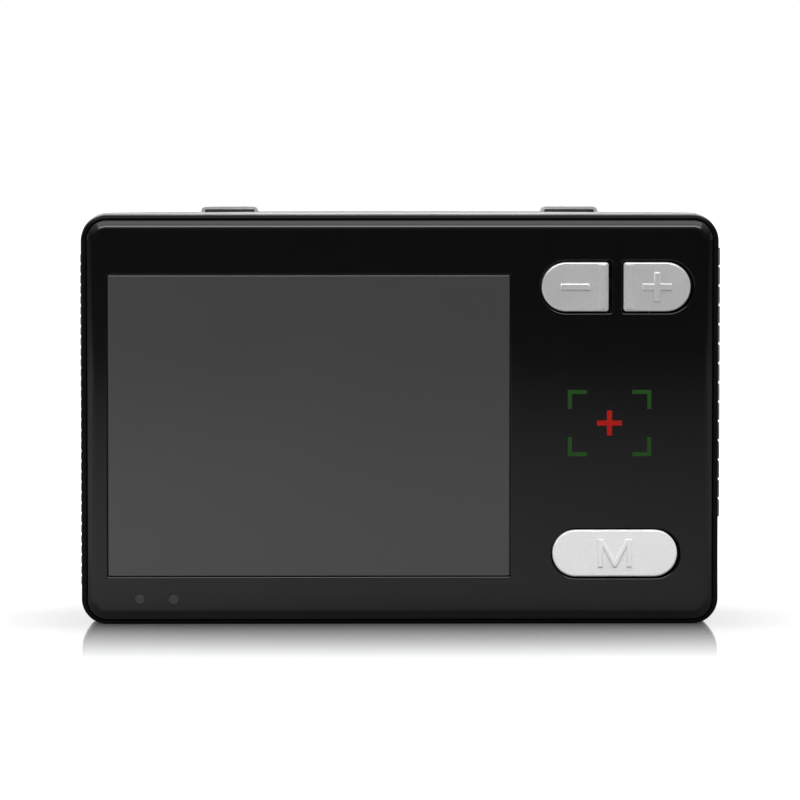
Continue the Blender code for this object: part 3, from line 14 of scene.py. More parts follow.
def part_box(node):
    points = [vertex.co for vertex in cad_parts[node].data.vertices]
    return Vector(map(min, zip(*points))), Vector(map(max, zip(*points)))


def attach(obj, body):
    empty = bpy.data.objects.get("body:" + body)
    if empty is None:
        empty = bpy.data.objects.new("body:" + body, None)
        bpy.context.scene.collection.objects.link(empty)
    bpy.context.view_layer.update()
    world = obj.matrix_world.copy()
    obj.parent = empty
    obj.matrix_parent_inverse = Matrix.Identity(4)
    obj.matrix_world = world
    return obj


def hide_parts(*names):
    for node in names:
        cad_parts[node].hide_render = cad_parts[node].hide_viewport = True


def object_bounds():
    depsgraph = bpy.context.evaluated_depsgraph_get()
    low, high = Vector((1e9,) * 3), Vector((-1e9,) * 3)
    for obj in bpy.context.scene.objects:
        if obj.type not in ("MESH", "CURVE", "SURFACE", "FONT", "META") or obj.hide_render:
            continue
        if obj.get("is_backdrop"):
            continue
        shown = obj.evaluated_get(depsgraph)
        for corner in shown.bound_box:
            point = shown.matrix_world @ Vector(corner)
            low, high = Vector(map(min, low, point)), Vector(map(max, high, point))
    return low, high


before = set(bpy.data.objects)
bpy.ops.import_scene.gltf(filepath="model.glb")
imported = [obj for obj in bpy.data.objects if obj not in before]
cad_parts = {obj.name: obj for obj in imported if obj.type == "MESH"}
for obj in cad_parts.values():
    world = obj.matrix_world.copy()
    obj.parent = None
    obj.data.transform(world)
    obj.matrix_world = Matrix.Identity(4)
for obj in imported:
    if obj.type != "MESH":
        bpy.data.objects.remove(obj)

MM = 0.001
TINY = 1e-6
BODY = "body"
FRONT_KEYS = ("minus_key", "plus_key", "mode_key")
INDICATORS = ("power_light_pipe", "charge_light_pipe")
READING_LIGHTS = ("lower_light", "upper_light")
STEEL_PARTS = ("display_backlight", "board_screw_1", "board_screw_2", "camera_screw_1", "camera_screw_2")
SHARP_ANGLE = math.radians(32)
EDGE_ANGLE = math.radians(25)
MOUTH_ANGLE = math.radians(60)
RIM_ANGLE = math.radians(80)
FLAT_ANGLE = math.radians(0.6)
FLAT_WIDTH = 0.5 * MM

Edge = bmesh.types.BMEdge
Mesh = bmesh.types.BMesh
Node = bpy.types.Node
Socket = bpy.types.NodeSocket
Point = tuple[float, float]
Place = tuple[float, float, float]
Colour = tuple[float, float, float]
EdgeTest = Callable[[Edge], bool]

log = logging.getLogger("magnifier")


# Places.


@dataclass(frozen=True)
class Box:
    """A space in the row frame, in metres. Front is towards the person who holds the magnifier."""

    left: float
    right: float
    front: float
    back: float
    bottom: float
    top: float

    @classmethod
    def of(cls, node: str) -> "Box":
        """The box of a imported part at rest."""
        low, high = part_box(node)
        return cls(low.x, high.x, low.y, high.y, low.z, high.z)

    @property
    def x(self) -> float:
        """The middle of the width."""
        return (self.left + self.right) / 2

    @property
    def y(self) -> float:
        """The middle of the depth."""
        return (self.front + self.back) / 2

    @property
    def z(self) -> float:
        """The middle of the height."""
        return (self.bottom + self.top) / 2

    @property
    def width(self) -> float:
        """The size from left to right."""
        return self.right - self.left

    @property
    def height(self) -> float:
        """The size from bottom to top."""
        return self.top - self.bottom

    def grown(self, side: float, end: Optional[float] = None, deep: float = 0.0) -> "Box":
        """The box with its sides moved out.

        Args:
            side: how far left and right move out.
            end: how far bottom and top move out, the same as side if left out.
            deep: how far front and back move out.

        Returns:
            The new box.
        """
        rise = side if end is None else end
        across = (self.left - side, self.right + side)
        return Box(*across, self.front - deep, self.back + deep, self.bottom - rise, self.top + rise)

    def between(self, front: float, back: float) -> "Box":
        """The box with another front and back."""
        return Box(self.left, self.right, front, back, self.bottom, self.top)


# Mesh tools.


def plate(box: Box, corners: float | Sequence[float] = 0.0, steps: int = 14) -> Mesh:
    """A plate that fills a box, its upright corners rounded as seen from the front.

    Args:
        box: the space it fills.
        corners: one radius, or the radii of the lower left, lower right, upper right and upper left corners.
        steps: facets in each corner.

    Returns:
        The new mesh.
    """
    mesh = bmesh.new()
    size = Vector((box.width, box.back - box.front, box.height))
    place = Matrix.Translation((box.x, box.y, box.z)) @ Matrix.Diagonal(size).to_4x4()
    bmesh.ops.create_cube(mesh, size=1, matrix=place)
    radii = [corners] * 4 if isinstance(corners, (int, float)) else corners
    spots = ((box.left, box.bottom), (box.right, box.bottom), (box.right, box.top), (box.left, box.top))
    for radius, (x, z) in zip(radii, spots):
        if radius > 0:
            soften(mesh, lambda edge: lies_at(edge, 0, x) and lies_at(edge, 2, z), radius, steps)
    bmesh.ops.remove_doubles(mesh, verts=mesh.verts, dist=TINY)
    return mesh


def lies_at(edge: Edge, axis: int, place: float) -> bool:
    """Whether both ends of an edge are at one place along an axis."""
    return all(abs(vert.co[axis] - place) < TINY for vert in edge.verts)


def at_y(depth: float, angle: float = EDGE_ANGLE) -> EdgeTest:
    """A test for edges at one depth whose faces meet at more than an angle."""
    return lambda edge: lies_at(edge, 1, depth) and edge.calc_face_angle(0) > angle


def soften(mesh: Mesh, test: EdgeTest, width: float, steps: int = 3) -> None:
    """Rounds every edge that passes a test.

    Args:
        mesh: the mesh to change.
        test: picks the edges.
        width: how far the round reaches from each edge.
        steps: facets across the round.
    """
    bmesh.ops.bevel(
        mesh,
        geom=[edge for edge in mesh.edges if test(edge)],
        offset=width,
        offset_type="OFFSET",
        segments=steps,
        profile=0.5,
        affect="EDGES",
        clamp_overlap=False,
        material=-1,
    )


def turned(profile: Sequence[Point], spot: Box, steps: int = 64) -> Mesh:
    """A round piece spun about a line that runs from front to back.

    Args:
        profile: (radius, depth) points from the front of the axis to the back.
        spot: the part whose middle the line passes through.
        steps: facets round the piece.

    Returns:
        The new mesh.
    """
    mesh = bmesh.new()
    x, z = spot.x, spot.z
    verts = [mesh.verts.new((x + radius, depth, z)) for radius, depth in profile]
    edges = [mesh.edges.new(pair) for pair in zip(verts, verts[1:])]
    if profile[0][0] > 0:
        edges.append(mesh.edges.new((verts[-1], verts[0])))
    bmesh.ops.spin(
        mesh,
        geom=[*verts, *edges],
        cent=(x, 0, z),
        axis=(0, 1, 0),
        angle=math.tau,
        steps=steps,
        use_merge=True,
    )
    bmesh.ops.remove_doubles(mesh, verts=mesh.verts, dist=TINY)
    bmesh.ops.recalc_face_normals(mesh, faces=mesh.faces)
    return mesh


def rod(spot: Box, radius: float, front: float, back: float, steps: int) -> Mesh:
    """A plain round bar in line with a part, from one depth to another."""
    return turned(((0, front), (radius, front), (radius, back), (0, back)), spot, steps)


def rounded(out: float, back: float, radius: float, steps: int) -> list[Point]:
    """The rounded back edge of a turned piece.

    Args:
        out: how far from the axis the piece reaches.
        back: the depth of its back.
        radius: the radius of the round.
        steps: facets in the round.

    Returns:
        (radius, depth) points from the piece's side to its back.
    """
    angles = [math.pi / 2 * step / steps for step in range(steps + 1)]
    return [(out - radius * (1 - math.cos(turn)), back - radius * (1 - math.sin(turn))) for turn in angles]


def drawn(outline: Sequence[Point], front: float, back: float, onto: Optional[Mesh] = None) -> Mesh:
    """A flat outline pulled back into a solid.

    Args:
        outline: (across, up) points in order.
        front: the depth of its front.
        back: the depth of its back.
        onto: a mesh to add the solid to.

    Returns:
        The mesh that was added to, or a new one.
    """
    mesh = onto or bmesh.new()
    face = mesh.faces.new([mesh.verts.new((x, front, z)) for x, z in outline])
    pulled = bmesh.ops.extrude_face_region(mesh, geom=[face], use_keep_orig=True)
    moved = [item for item in pulled["geom"] if isinstance(item, bmesh.types.BMVert)]
    bmesh.ops.translate(mesh, verts=moved, vec=(0, back - front, 0))
    bmesh.ops.recalc_face_normals(mesh, faces=mesh.faces)
    return mesh


def as_object(mesh: Mesh, name: str) -> bpy.types.Object:
    """Turns a mesh into an object of the scene.

    Args:
        mesh: the mesh, which is used up.
        name: what the object is called.

    Returns:
        The new object.
    """
    data = bpy.data.meshes.new(name)
    mesh.to_mesh(data)
    mesh.free()
    made = bpy.data.objects.new(name, data)
    bpy.context.scene.collection.objects.link(made)
    return made


class Join(Enum):
    """How two solids are put together."""

    ADD = "UNION"
    CUT = "DIFFERENCE"
    KEEP_COMMON = "INTERSECT"


def combined(base: Mesh, how: Join, tools: Iterable[Mesh]) -> Mesh:
    """One solid made from a base and some others, which are used up.

    Args:
        base: the solid to start from.
        how: what the others do to it.
        tools: the other solids.

    Returns:
        The new mesh.
    """
    for tool in tools:
        holders = []
        for part in (base, tool):
            bmesh.ops.recalc_face_normals(part, faces=part.faces)
            holders.append(as_object(part, "part"))
        modifier = holders[0].modifiers.new("join", "BOOLEAN")
        modifier.operation = how.value
        modifier.solver = "EXACT"
        modifier.object = holders[1]
        graph = bpy.context.evaluated_depsgraph_get()
        made = bpy.data.meshes.new_from_object(holders[0].evaluated_get(graph))
        base = bmesh.new()
        base.from_mesh(made)
        bmesh.ops.remove_doubles(base, verts=base.verts, dist=TINY / 10)
        for holder in holders:
            bpy.data.objects.remove(holder)
        bpy.data.meshes.remove(made)
    return base


def cut(base: Mesh, *tools: Mesh) -> Mesh:
    """The base with the tools taken away from it."""
    return combined(base, Join.CUT, tools)


def add(base: Mesh, *tools: Mesh) -> Mesh:
    """The base with the tools joined to it."""
    return combined(base, Join.ADD, tools)


def crease_flats(mesh: Mesh) -> None:
    """Makes the edges round every wide flat region sharp, so that it shades as flat as it is.

    Args:
        mesh: the mesh to change.
    """
    waiting = set(mesh.faces)
    while waiting:
        region = [waiting.pop()]
        border = []
        for face in region:
            for edge in face.edges:
                if edge.calc_face_angle(math.pi) < FLAT_ANGLE:
                    joined = waiting.intersection(edge.link_faces)
                    waiting -= joined
                    region.extend(joined)
                else:
                    border.append(edge)
        spots = [vert.co for face in region for vert in face.verts]
        spans = (max(spot[axis] for spot in spots) - min(spot[axis] for spot in spots) for axis in range(3))
        area = sum(face.calc_area() for face in region)
        if area > FLAT_WIDTH * math.hypot(*spans):
            for edge in border:
                edge.smooth = False


def publish(
    mesh: Mesh,
    name: str,
    finish: "Finish",
    body: str = BODY,
    replaces: Sequence[str] = (),
    more: Sequence["Finish"] = (),
) -> bpy.types.Object:
    """Turns a mesh into a finished piece that rides on a body.

    Args:
        mesh: the shape, which is used up.
        name: the piece's name.
        finish: what it is made of.
        body: the body it moves with.
        replaces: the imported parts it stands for.
        more: further finishes, for faces whose material index is above 0.

    Returns:
        The new object.
    """
    bmesh.ops.recalc_face_normals(mesh, faces=mesh.faces)
    crowded = [face for face in mesh.faces if len(face.verts) > 4]
    bmesh.ops.triangulate(mesh, faces=crowded, ngon_method="BEAUTY")
    for face in mesh.faces:
        face.smooth = True
    for edge in mesh.edges:
        edge.smooth = edge.calc_face_angle(0) < SHARP_ANGLE
    crease_flats(mesh)
    piece = as_object(mesh, name)
    for each in (finish, *more):
        piece.data.materials.append(each.material())
    piece.modifiers.new("even_faces", "WEIGHTED_NORMAL").keep_sharp = True
    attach(piece, body)
    if replaces:
        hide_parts(*replaces)
    log.info("%s: %d faces on %s", name, len(piece.data.polygons), body)
    return piece


# Materials.


class Graph:
    """Places nodes in one tree and wires them."""

    def __init__(self, tree: bpy.types.NodeTree) -> None:
        """Starts on an empty tree."""
        self.tree = tree
        tree.nodes.clear()

    @classmethod
    def of_material(cls, name: str) -> tuple[bpy.types.Material, "Graph"]:
        """A new material, and the graph of its tree."""
        material = bpy.data.materials.new(name)
        material.use_nodes = True
        return material, cls(material.node_tree)

    def add(self, kind: str, feeds: Optional[dict] = None, **settings: object) -> Node:
        """A new node.

        Args:
            kind: the node's type, without its ShaderNode prefix.
            feeds: outputs or plain values for its inputs, by name or number.
            **settings: properties to set on it.

        Returns:
            The node.
        """
        node = self.tree.nodes.new(kind if kind.startswith("Node") else f"ShaderNode{kind}")
        for key, value in settings.items():
            setattr(node, key, value)
        for key, value in (feeds or {}).items():
            self.feed(value, node.inputs[key])
        return node

    def feed(self, value: object, socket: Socket) -> None:
        """Wires an output into a socket, or sets the socket to a plain value.

        Args:
            value: the output or the plain value.
            socket: the input that takes it.
        """
        if isinstance(value, bpy.types.NodeSocket):
            self.tree.links.new(value, socket)
        else:
            socket.default_value = value

    def places(self, kind: str = "Object") -> dict[str, Socket]:
        """The separated coordinates of one kind, by axis."""
        source = self.add("TexCoord").outputs[kind]
        return dict(self.add("SeparateXYZ", {0: source}).outputs.items())

    def maths(self, operation: str, first: object, second: object = 0.0) -> Socket:
        """The result of one sum on two values."""
        return self.add("Math", {0: first, 1: second}, operation=operation).outputs[0]

    def product(self, first: object, *others: object) -> Socket:
        """Several values multiplied together."""
        for other in others:
            first = self.maths("MULTIPLY", first, other)
        return first

    def ramp(self, value: object, low: float, high: float, out: Point = (0, 1)) -> Socket:
        """A value stretched from the range between low and high to the range in out."""
        return self.add("MapRange", dict(enumerate((value, low, high, *out))), clamp=True).outputs[0]

    def mix(self, factor: object, first: object, second: object) -> Socket:
        """Two values mixed by a factor."""
        return self.add("Mix", {0: factor, 2: first, 3: second}, data_type="FLOAT").outputs[0]

    def blend(self, mask: object, first: object, second: object) -> Socket:
        """Two colours mixed by a mask."""
        return self.add("Mix", {0: mask, 6: first, 7: second}, data_type="RGBA").outputs[2]

    def noise(self, vector: object, scale: object, detail: float = 2.0) -> Socket:
        """Soft noise on a vector."""
        return self.add("TexNoise", {"Vector": vector, "Scale": scale, "Detail": detail}).outputs[0]


@dataclass(frozen=True)
class Effect:
    """A surface effect that several finishes share, kept as one node group."""

    name: str
    inputs: tuple[tuple[str, float], ...]
    outputs: tuple[str, ...]
    wire: Callable[[Graph, Node, Node], None]

    def group(self) -> bpy.types.NodeTree:
        """The node group, built on first use.

        Returns:
            The group's tree.
        """
        made = bpy.data.node_groups.get(self.name)
        if made:
            return made
        tree = bpy.data.node_groups.new(self.name, "ShaderNodeTree")
        tree.interface.new_socket("Vector", in_out="INPUT", socket_type="NodeSocketVector")
        for name, value in self.inputs:
            socket = tree.interface.new_socket(name, in_out="INPUT", socket_type="NodeSocketFloat")
            socket.default_value = value
        for name in self.outputs:
            tree.interface.new_socket(name, in_out="OUTPUT", socket_type="NodeSocketFloat")
        graph = Graph(tree)
        self.wire(graph, graph.add("NodeGroupInput"), graph.add("NodeGroupOutput"))
        return tree

    def use(self, graph: Graph, vector: Socket, **values: float) -> Node:
        """Places the group in a material, with its coordinates and its inputs by name."""
        return graph.add("Group", {"Vector": vector, **values}, node_tree=self.group())


def wire_grain(graph: Graph, source: Node, result: Node) -> None:
    """Fine moulded grain, and a broad tone that drifts over the piece.

    Args:
        graph: the group's tree.
        source: the group's inputs.
        result: the group's outputs.
    """
    vector, scale = source.outputs["Vector"], source.outputs["Scale"]
    graph.feed(graph.noise(vector, scale, 3.0), result.inputs["Height"])
    broad = graph.noise(vector, graph.maths("DIVIDE", scale, 60.0))
    graph.feed(graph.ramp(broad, 0.3, 0.7), result.inputs["Tone"])


def wire_hairlines(graph: Graph, source: Node, result: Node) -> None:
    """Sparse hairline scratches that run three ways.

    Args:
        graph: the group's tree.
        source: the group's inputs.
        result: the group's outputs.
    """
    total: object = 0.0
    for angle, shift in ((0.5, 0.0), (-0.35, 0.7), (1.25, 1.3)):
        turn = {"Vector": source.outputs["Vector"], "Rotation": (0, angle, 0)}
        spun = graph.add("Mapping", turn, vector_type="POINT").outputs[0]
        stretch = {"Vector": spun, "Location": (shift, shift, shift), "Scale": (0.008, 0.1, 1.0)}
        drawn_out = graph.add("Mapping", stretch, vector_type="POINT").outputs[0]
        streak = graph.noise(drawn_out, source.outputs["Scale"], 1.0)
        total = graph.maths("ADD", graph.ramp(streak, 0.72, 0.78), total)
    graph.feed(graph.product(total, source.outputs["Amount"]), result.inputs["Mask"])


def wire_dust(graph: Graph, source: Node, result: Node) -> None:
    """Small specks of dust, thicker in some places than others, over faint smears.

    Args:
        graph: the group's tree.
        source: the group's inputs.
        result: the group's outputs.
    """
    vector, amount = source.outputs["Vector"], source.outputs["Amount"]
    specks = graph.ramp(graph.noise(vector, source.outputs["Scale"], 1.0), 0.74, 0.8)
    drift = graph.ramp(graph.noise(vector, 60.0), 0.35, 0.7)
    graph.feed(graph.product(specks, drift, amount), result.inputs["Mask"])
    graph.feed(graph.product(drift, amount), result.inputs["Smear"])


def wire_edge_highlight(graph: Graph, source: Node, result: Node) -> None:
    """Painted highlight on rounded edges, broken up by noise.

    Args:
        graph: the group's tree.
        source: the group's inputs.
        result: the group's outputs.
    """
    rounded_off = graph.add("Bevel", {"Radius": source.outputs["Radius"]}, samples=4).outputs[0]
    true = graph.add("NewGeometry").outputs["Normal"]
    facing = graph.add("VectorMath", {0: rounded_off, 1: true}, operation="DOT_PRODUCT")
    edge = graph.ramp(facing.outputs["Value"], 0.995, 0.9)
    patchy = graph.ramp(graph.noise(source.outputs["Vector"], 900.0, 3.0), 0.35, 0.65)
    graph.feed(graph.product(edge, patchy, source.outputs["Amount"]), result.inputs["Mask"])


GRAIN = Effect("moulded_grain", (("Scale", 20000.0),), ("Height", "Tone"), wire_grain)
HAIRLINES = Effect("hairlines", (("Scale", 9000.0), ("Amount", 0.2)), ("Mask",), wire_hairlines)
DUST = Effect("dust", (("Scale", 5000.0), ("Amount", 0.2)), ("Mask", "Smear"), wire_dust)
# A painted highlight on rounded edges, shared by several finishes.
EDGE_HIGHLIGHT = Effect("painted_edge_highlight", (("Radius", 0.0003), ("Amount", 0.2)), ("Mask",), wire_edge_highlight)


@dataclass(frozen=True)
class Finish:
    """A surface: its colour, how it shines, and the effects laid over it.

    The slot is the record's name for it. Grain is the period of the moulded texture, relief its height,
    tone how much the colour drifts, hairlines and dust the strength of those effects, and the edge highlight
    the strength of a painted highlight that lightens rounded edges towards its own colour.
    """

    slot: str
    colour: Colour
    roughness: float
    metallic: float = 0.0
    coat: float = 0.0
    specular: float = 0.5
    grain: float = 0.00006
    relief: float = 0.0
    tone: float = 0.06
    hairlines: float = 0.0
    dust: float = 0.15
    edge_highlight: float = 0.0
    edge_highlight_colour: Colour = (0.3, 0.3, 0.3)
    transmission: float = 0.0
    subtitle: str = ""
    sparkle: float = 0.0

    @property
    def name(self) -> str:
        """The material's name."""
        return self.slot + self.subtitle

    def material(self) -> bpy.types.Material:
        """The finish's material, built on first use.

        Returns:
            The material.
        """
        made = bpy.data.materials.get(f"{self.name}_look")
        if made:
            return made
        material, graph = Graph.of_material(f"{self.name}_look")
        vector = graph.add("TexCoord").outputs["Object"]
        grain = GRAIN.use(graph, vector, Scale=1 / self.grain)
        tone = grain.outputs["Tone"]
        colour = self.pattern(graph, vector, grain)
        roughness = graph.ramp(tone, 0, 1, (self.roughness * 0.93, self.roughness * 1.07))
        if self.dust:
            dust = DUST.use(graph, vector, Amount=self.dust)
            colour = graph.blend(dust.outputs["Mask"], colour, (0.35, 0.34, 0.32, 1))
            roughness = graph.maths("ADD", roughness, graph.product(dust.outputs["Smear"], 0.12))
        if self.hairlines:
            lines = HAIRLINES.use(graph, vector, Amount=self.hairlines).outputs["Mask"]
            colour = graph.blend(lines, colour, (0.25, 0.25, 0.26, 1))
            roughness = graph.maths("ADD", roughness, graph.product(lines, 0.5))
        # Painted highlight: rounded edges are lightened towards the highlight colour.
        if self.edge_highlight:
            edge_highlight_mask = EDGE_HIGHLIGHT.use(graph, vector, Amount=self.edge_highlight).outputs["Mask"]
            colour = graph.blend(edge_highlight_mask, colour, (*self.edge_highlight_colour, 1))
        looks = {
            "Base Color": colour,
            "Roughness": roughness,
            "Metallic": self.metallic,
            "Transmission Weight": self.transmission,
            "Specular IOR Level": self.specular,
            "Coat Weight": self.coat,
            "Coat Roughness": 0.03,
        }
        if self.relief:
            height = {"Height": grain.outputs["Height"], "Distance": self.relief, "Strength": 1.0}
            looks["Normal"] = graph.add("Bump", height).outputs[0]
        graph.add("OutputMaterial", {0: graph.add("BsdfPrincipled", looks).outputs[0]})
        return material

    def pattern(self, graph: Graph, vector: Socket, grain: Node) -> Socket:
        """The finish's own colour, which drifts a little over the piece.

        Args:
            graph: the material's tree.
            vector: the object's coordinates.
            grain: the grain effect's node.

        Returns:
            The colour.
        """
        dark = tuple(channel * (1 - self.tone) for channel in self.colour)
        light = tuple(min(1.0, channel * (1 + self.tone)) for channel in self.colour)
        drifting = graph.blend(grain.outputs["Tone"], (*dark, 1), (*light, 1))
        if not self.sparkle:
            return drifting
        flakes = graph.ramp(grain.outputs["Height"], 0.35, 0.65, (0.0, self.sparkle))
        return graph.blend(flakes, drifting, (0.12, 0.12, 0.12, 1))


@dataclass(frozen=True)
class SpotFinish(Finish):
    """A finish whose colour changes with the distance from a line that runs from front to back."""

    centre: Point = (0.0, 0.0)
    radius: float = 0.001
    softness: float = 0.2
    middle: Colour = (0.5, 0.4, 0.1)

    def pattern(self, graph: Graph, vector: Socket, grain: Node) -> Socket:
        """The middle colour inside the radius and the plain one outside it.

        Args:
            graph: the material's tree.
            vector: the object's coordinates.
            grain: the grain effect's node.

        Returns:
            The colour.
        """
        flat = graph.add("VectorMath", {0: vector, 1: (1, 0, 1)}, operation="MULTIPLY").outputs[0]
        middle = (self.centre[0], 0, self.centre[1])
        away = graph.add("VectorMath", {0: flat, 1: middle}, operation="DISTANCE").outputs["Value"]
        mask = graph.ramp(away, self.radius * (1 - self.softness), self.radius * (1 + self.softness))
        return graph.blend(mask, (*self.middle, 1), super().pattern(graph, vector, grain))


@dataclass(frozen=True)
class BoardFinish(Finish):
    """Green solder resist over copper tracks that run in steps, with pads."""

    def pattern(self, graph: Graph, vector: Socket, grain: Node) -> Socket:
        """Tracks along the borders of square cells, and a pad in the middle of each.

        Args:
            graph: the material's tree.
            vector: the object's coordinates.
            grain: the grain effect's node.

        Returns:
            The colour.
        """
        cells = {"Vector": vector, "Scale": 420.0}
        away = graph.add("TexVoronoi", cells, distance="CHEBYCHEV", feature="F1").outputs["Distance"]
        base = super().pattern(graph, vector, grain)
        tracked = graph.blend(graph.ramp(away, 0.40, 0.44), base, (0.03, 0.2, 0.06, 1))
        return graph.blend(graph.ramp(away, 0.1, 0.06), tracked, (0.5, 0.42, 0.22, 1))


class Palette(Enum):
    """Every finish on the magnifier but the reading lights' own."""

    PANEL = Finish("gloss_black_panel", (0.0035, 0.0035, 0.0038), 0.05, hairlines=0.02, dust=0.05)
    SCREEN = Finish("screen_window", (0.055, 0.055, 0.056), 0.09, grain=0.0004, tone=0.02, dust=0.02)
    # The edge highlight paints a lighter colour onto rounded edges: faint on the black shells, strong on the
    # silver and the keys.
    SHELL = Finish(
        "black_shell",
        (0.004, 0.004, 0.0045),
        0.3,
        specular=0.09,
        grain=0.00009,
        relief=0.0000003,
        dust=0.12,
        edge_highlight=0.06,
        edge_highlight_colour=(0.02, 0.02, 0.02),
    )
    BACK = Finish(
        "black_shell",
        (0.012, 0.012, 0.0125),
        0.42,
        grain=0.00018,
        relief=0.000006,
        dust=0.12,
        edge_highlight=0.25,
        edge_highlight_colour=(0.03, 0.03, 0.03),
        subtitle="_textured",
    )
    SILVER = Finish(
        "satin_silver",
        (0.40, 0.392, 0.375),
        0.38,
        metallic=0.6,
        grain=0.00018,
        relief=0.000001,
        tone=0.03,
        dust=0.08,
        edge_highlight=0.5,
        edge_highlight_colour=(0.85, 0.85, 0.86),
        sparkle=0.16,
    )
    KEYS = replace(
        SILVER,
        colour=(0.76, 0.76, 0.755),
        roughness=0.33,
        metallic=0.5,
        tone=0.02,
        dust=0.05,
        edge_highlight=0.85,
        edge_highlight_colour=(0.98, 0.98, 0.98),
        subtitle="_keys",
    )
    MODE = replace(
        KEYS,
        colour=(0.95, 0.95, 0.945),
        roughness=0.36,
        metallic=0.05,
        edge_highlight_colour=(0.99, 0.99, 0.99),
        subtitle="_mode",
        sparkle=0.1,
    )
    # A dark colour for the top keys' front face: painted shade and a painted reflection of the black bezel.
    RECESS = Finish("dark_plastic", (0.042, 0.040, 0.046), 0.5, relief=0.000001, subtitle="_painted_shade")
    GREEN = Finish(
        "print_green", (0.012, 0.058, 0.007), 0.5, specular=0.2, grain=0.00008, tone=0.12, dust=0.0
    )
    RED = replace(GREEN, slot="print_red", colour=(0.38, 0.007, 0.004))
    STEEL = Finish(
        "steel", (0.55, 0.55, 0.56), 0.3, metallic=1.0, grain=0.0001, relief=0.000001, hairlines=0.2
    )
    RUBBER = Finish(
        "rubber", (0.018, 0.018, 0.019), 0.78, grain=0.0002, relief=0.00001, tone=0.15, dust=0.5
    )
    DARK = Finish("dark_plastic", (0.016, 0.016, 0.017), 0.45, relief=0.000002)
    RIBBON = Finish("ribbon_film", (0.42, 0.16, 0.03), 0.28, grain=0.0006, tone=0.2)
    WRAP = Finish("battery_wrap", (0.10, 0.12, 0.16), 0.35, metallic=0.3, grain=0.0008, tone=0.1)
    DISPLAY = Finish("display_glass", (0.05, 0.05, 0.055), 0.1, grain=0.0003, tone=0.05)
    CLEAR = Finish("clear_glass", (0.9, 0.93, 0.97), 0.02, dust=0.0, tone=0.01, transmission=1.0)
    LENS = replace(CLEAR, colour=(0.75, 0.7, 0.95), tone=0.02, subtitle="_coated")
    LAMP = Finish("lamp_lens", (0.037, 0.037, 0.039), 0.35, grain=0.0003, tone=0.12, dust=0.1)
    BOARD = BoardFinish("circuit_board", (0.008, 0.10, 0.03), 0.32, grain=0.0002, tone=0.15)


def light_finish(light: Box) -> SpotFinish:
    """The clear dome of a white light, with its yellow phosphor in the middle.

    Args:
        light: where the light is.

    Returns:
        The finish.
    """
    return SpotFinish(
        "lamp_lens",
        (0.62, 0.63, 0.62),
        0.12,
        coat=0.8,
        dust=0.05,
        subtitle=f"_white_{light.z * 1000:.0f}",
        centre=(light.x, light.z),
        radius=0.00075,
        middle=(0.72, 0.55, 0.09),
    )


# The magnifier.


@dataclass
class KeyFaces:
    """Where the three front keys sit, and the outline each one has."""

    flange_lip: float = 0.7 * MM
    left_gap: float = 0.25 * MM
    right_gap: float = 0.62 * MM
    end_gap: float = 0.33 * MM
    inner_corner: float = 0.5 * MM
    steps: int = 20

    def face(self, name: str) -> Box:
        """The box of a key's face, without the flange behind it."""
        return Box.of(name).grown(-self.flange_lip)

    def solid(self, name: str, box: Box) -> Mesh:
        """A solid with a key's outline: round ends, nearly square where the zoom keys face each other.

        Args:
            name: the key.
            box: the space it fills.

        Returns:
            The new mesh.
        """
        end, square = box.height / 2 - TINY * 20, self.inner_corner
        left = square if name == "plus_key" else end
        right = square if name == "minus_key" else end
        return plate(box, [left, right, right, left], self.steps)

    def opening(self, name: str, extra: float, front: float, back: float) -> Mesh:
        """The hole that a key passes through, in which the key sits a little to the left.

        Args:
            name: the key.
            extra: how much wider than the panel's opening it is.
            front: the depth where it starts.
            back: the depth where it ends.

        Returns:
            The new mesh.
        """
        face = self.face(name)
        left, right, end = self.left_gap + extra, self.right_gap + extra, self.end_gap + extra
        box = Box(face.left - left, face.right + right, front, back, face.bottom - end, face.top + end)
        return self.solid(name, box)


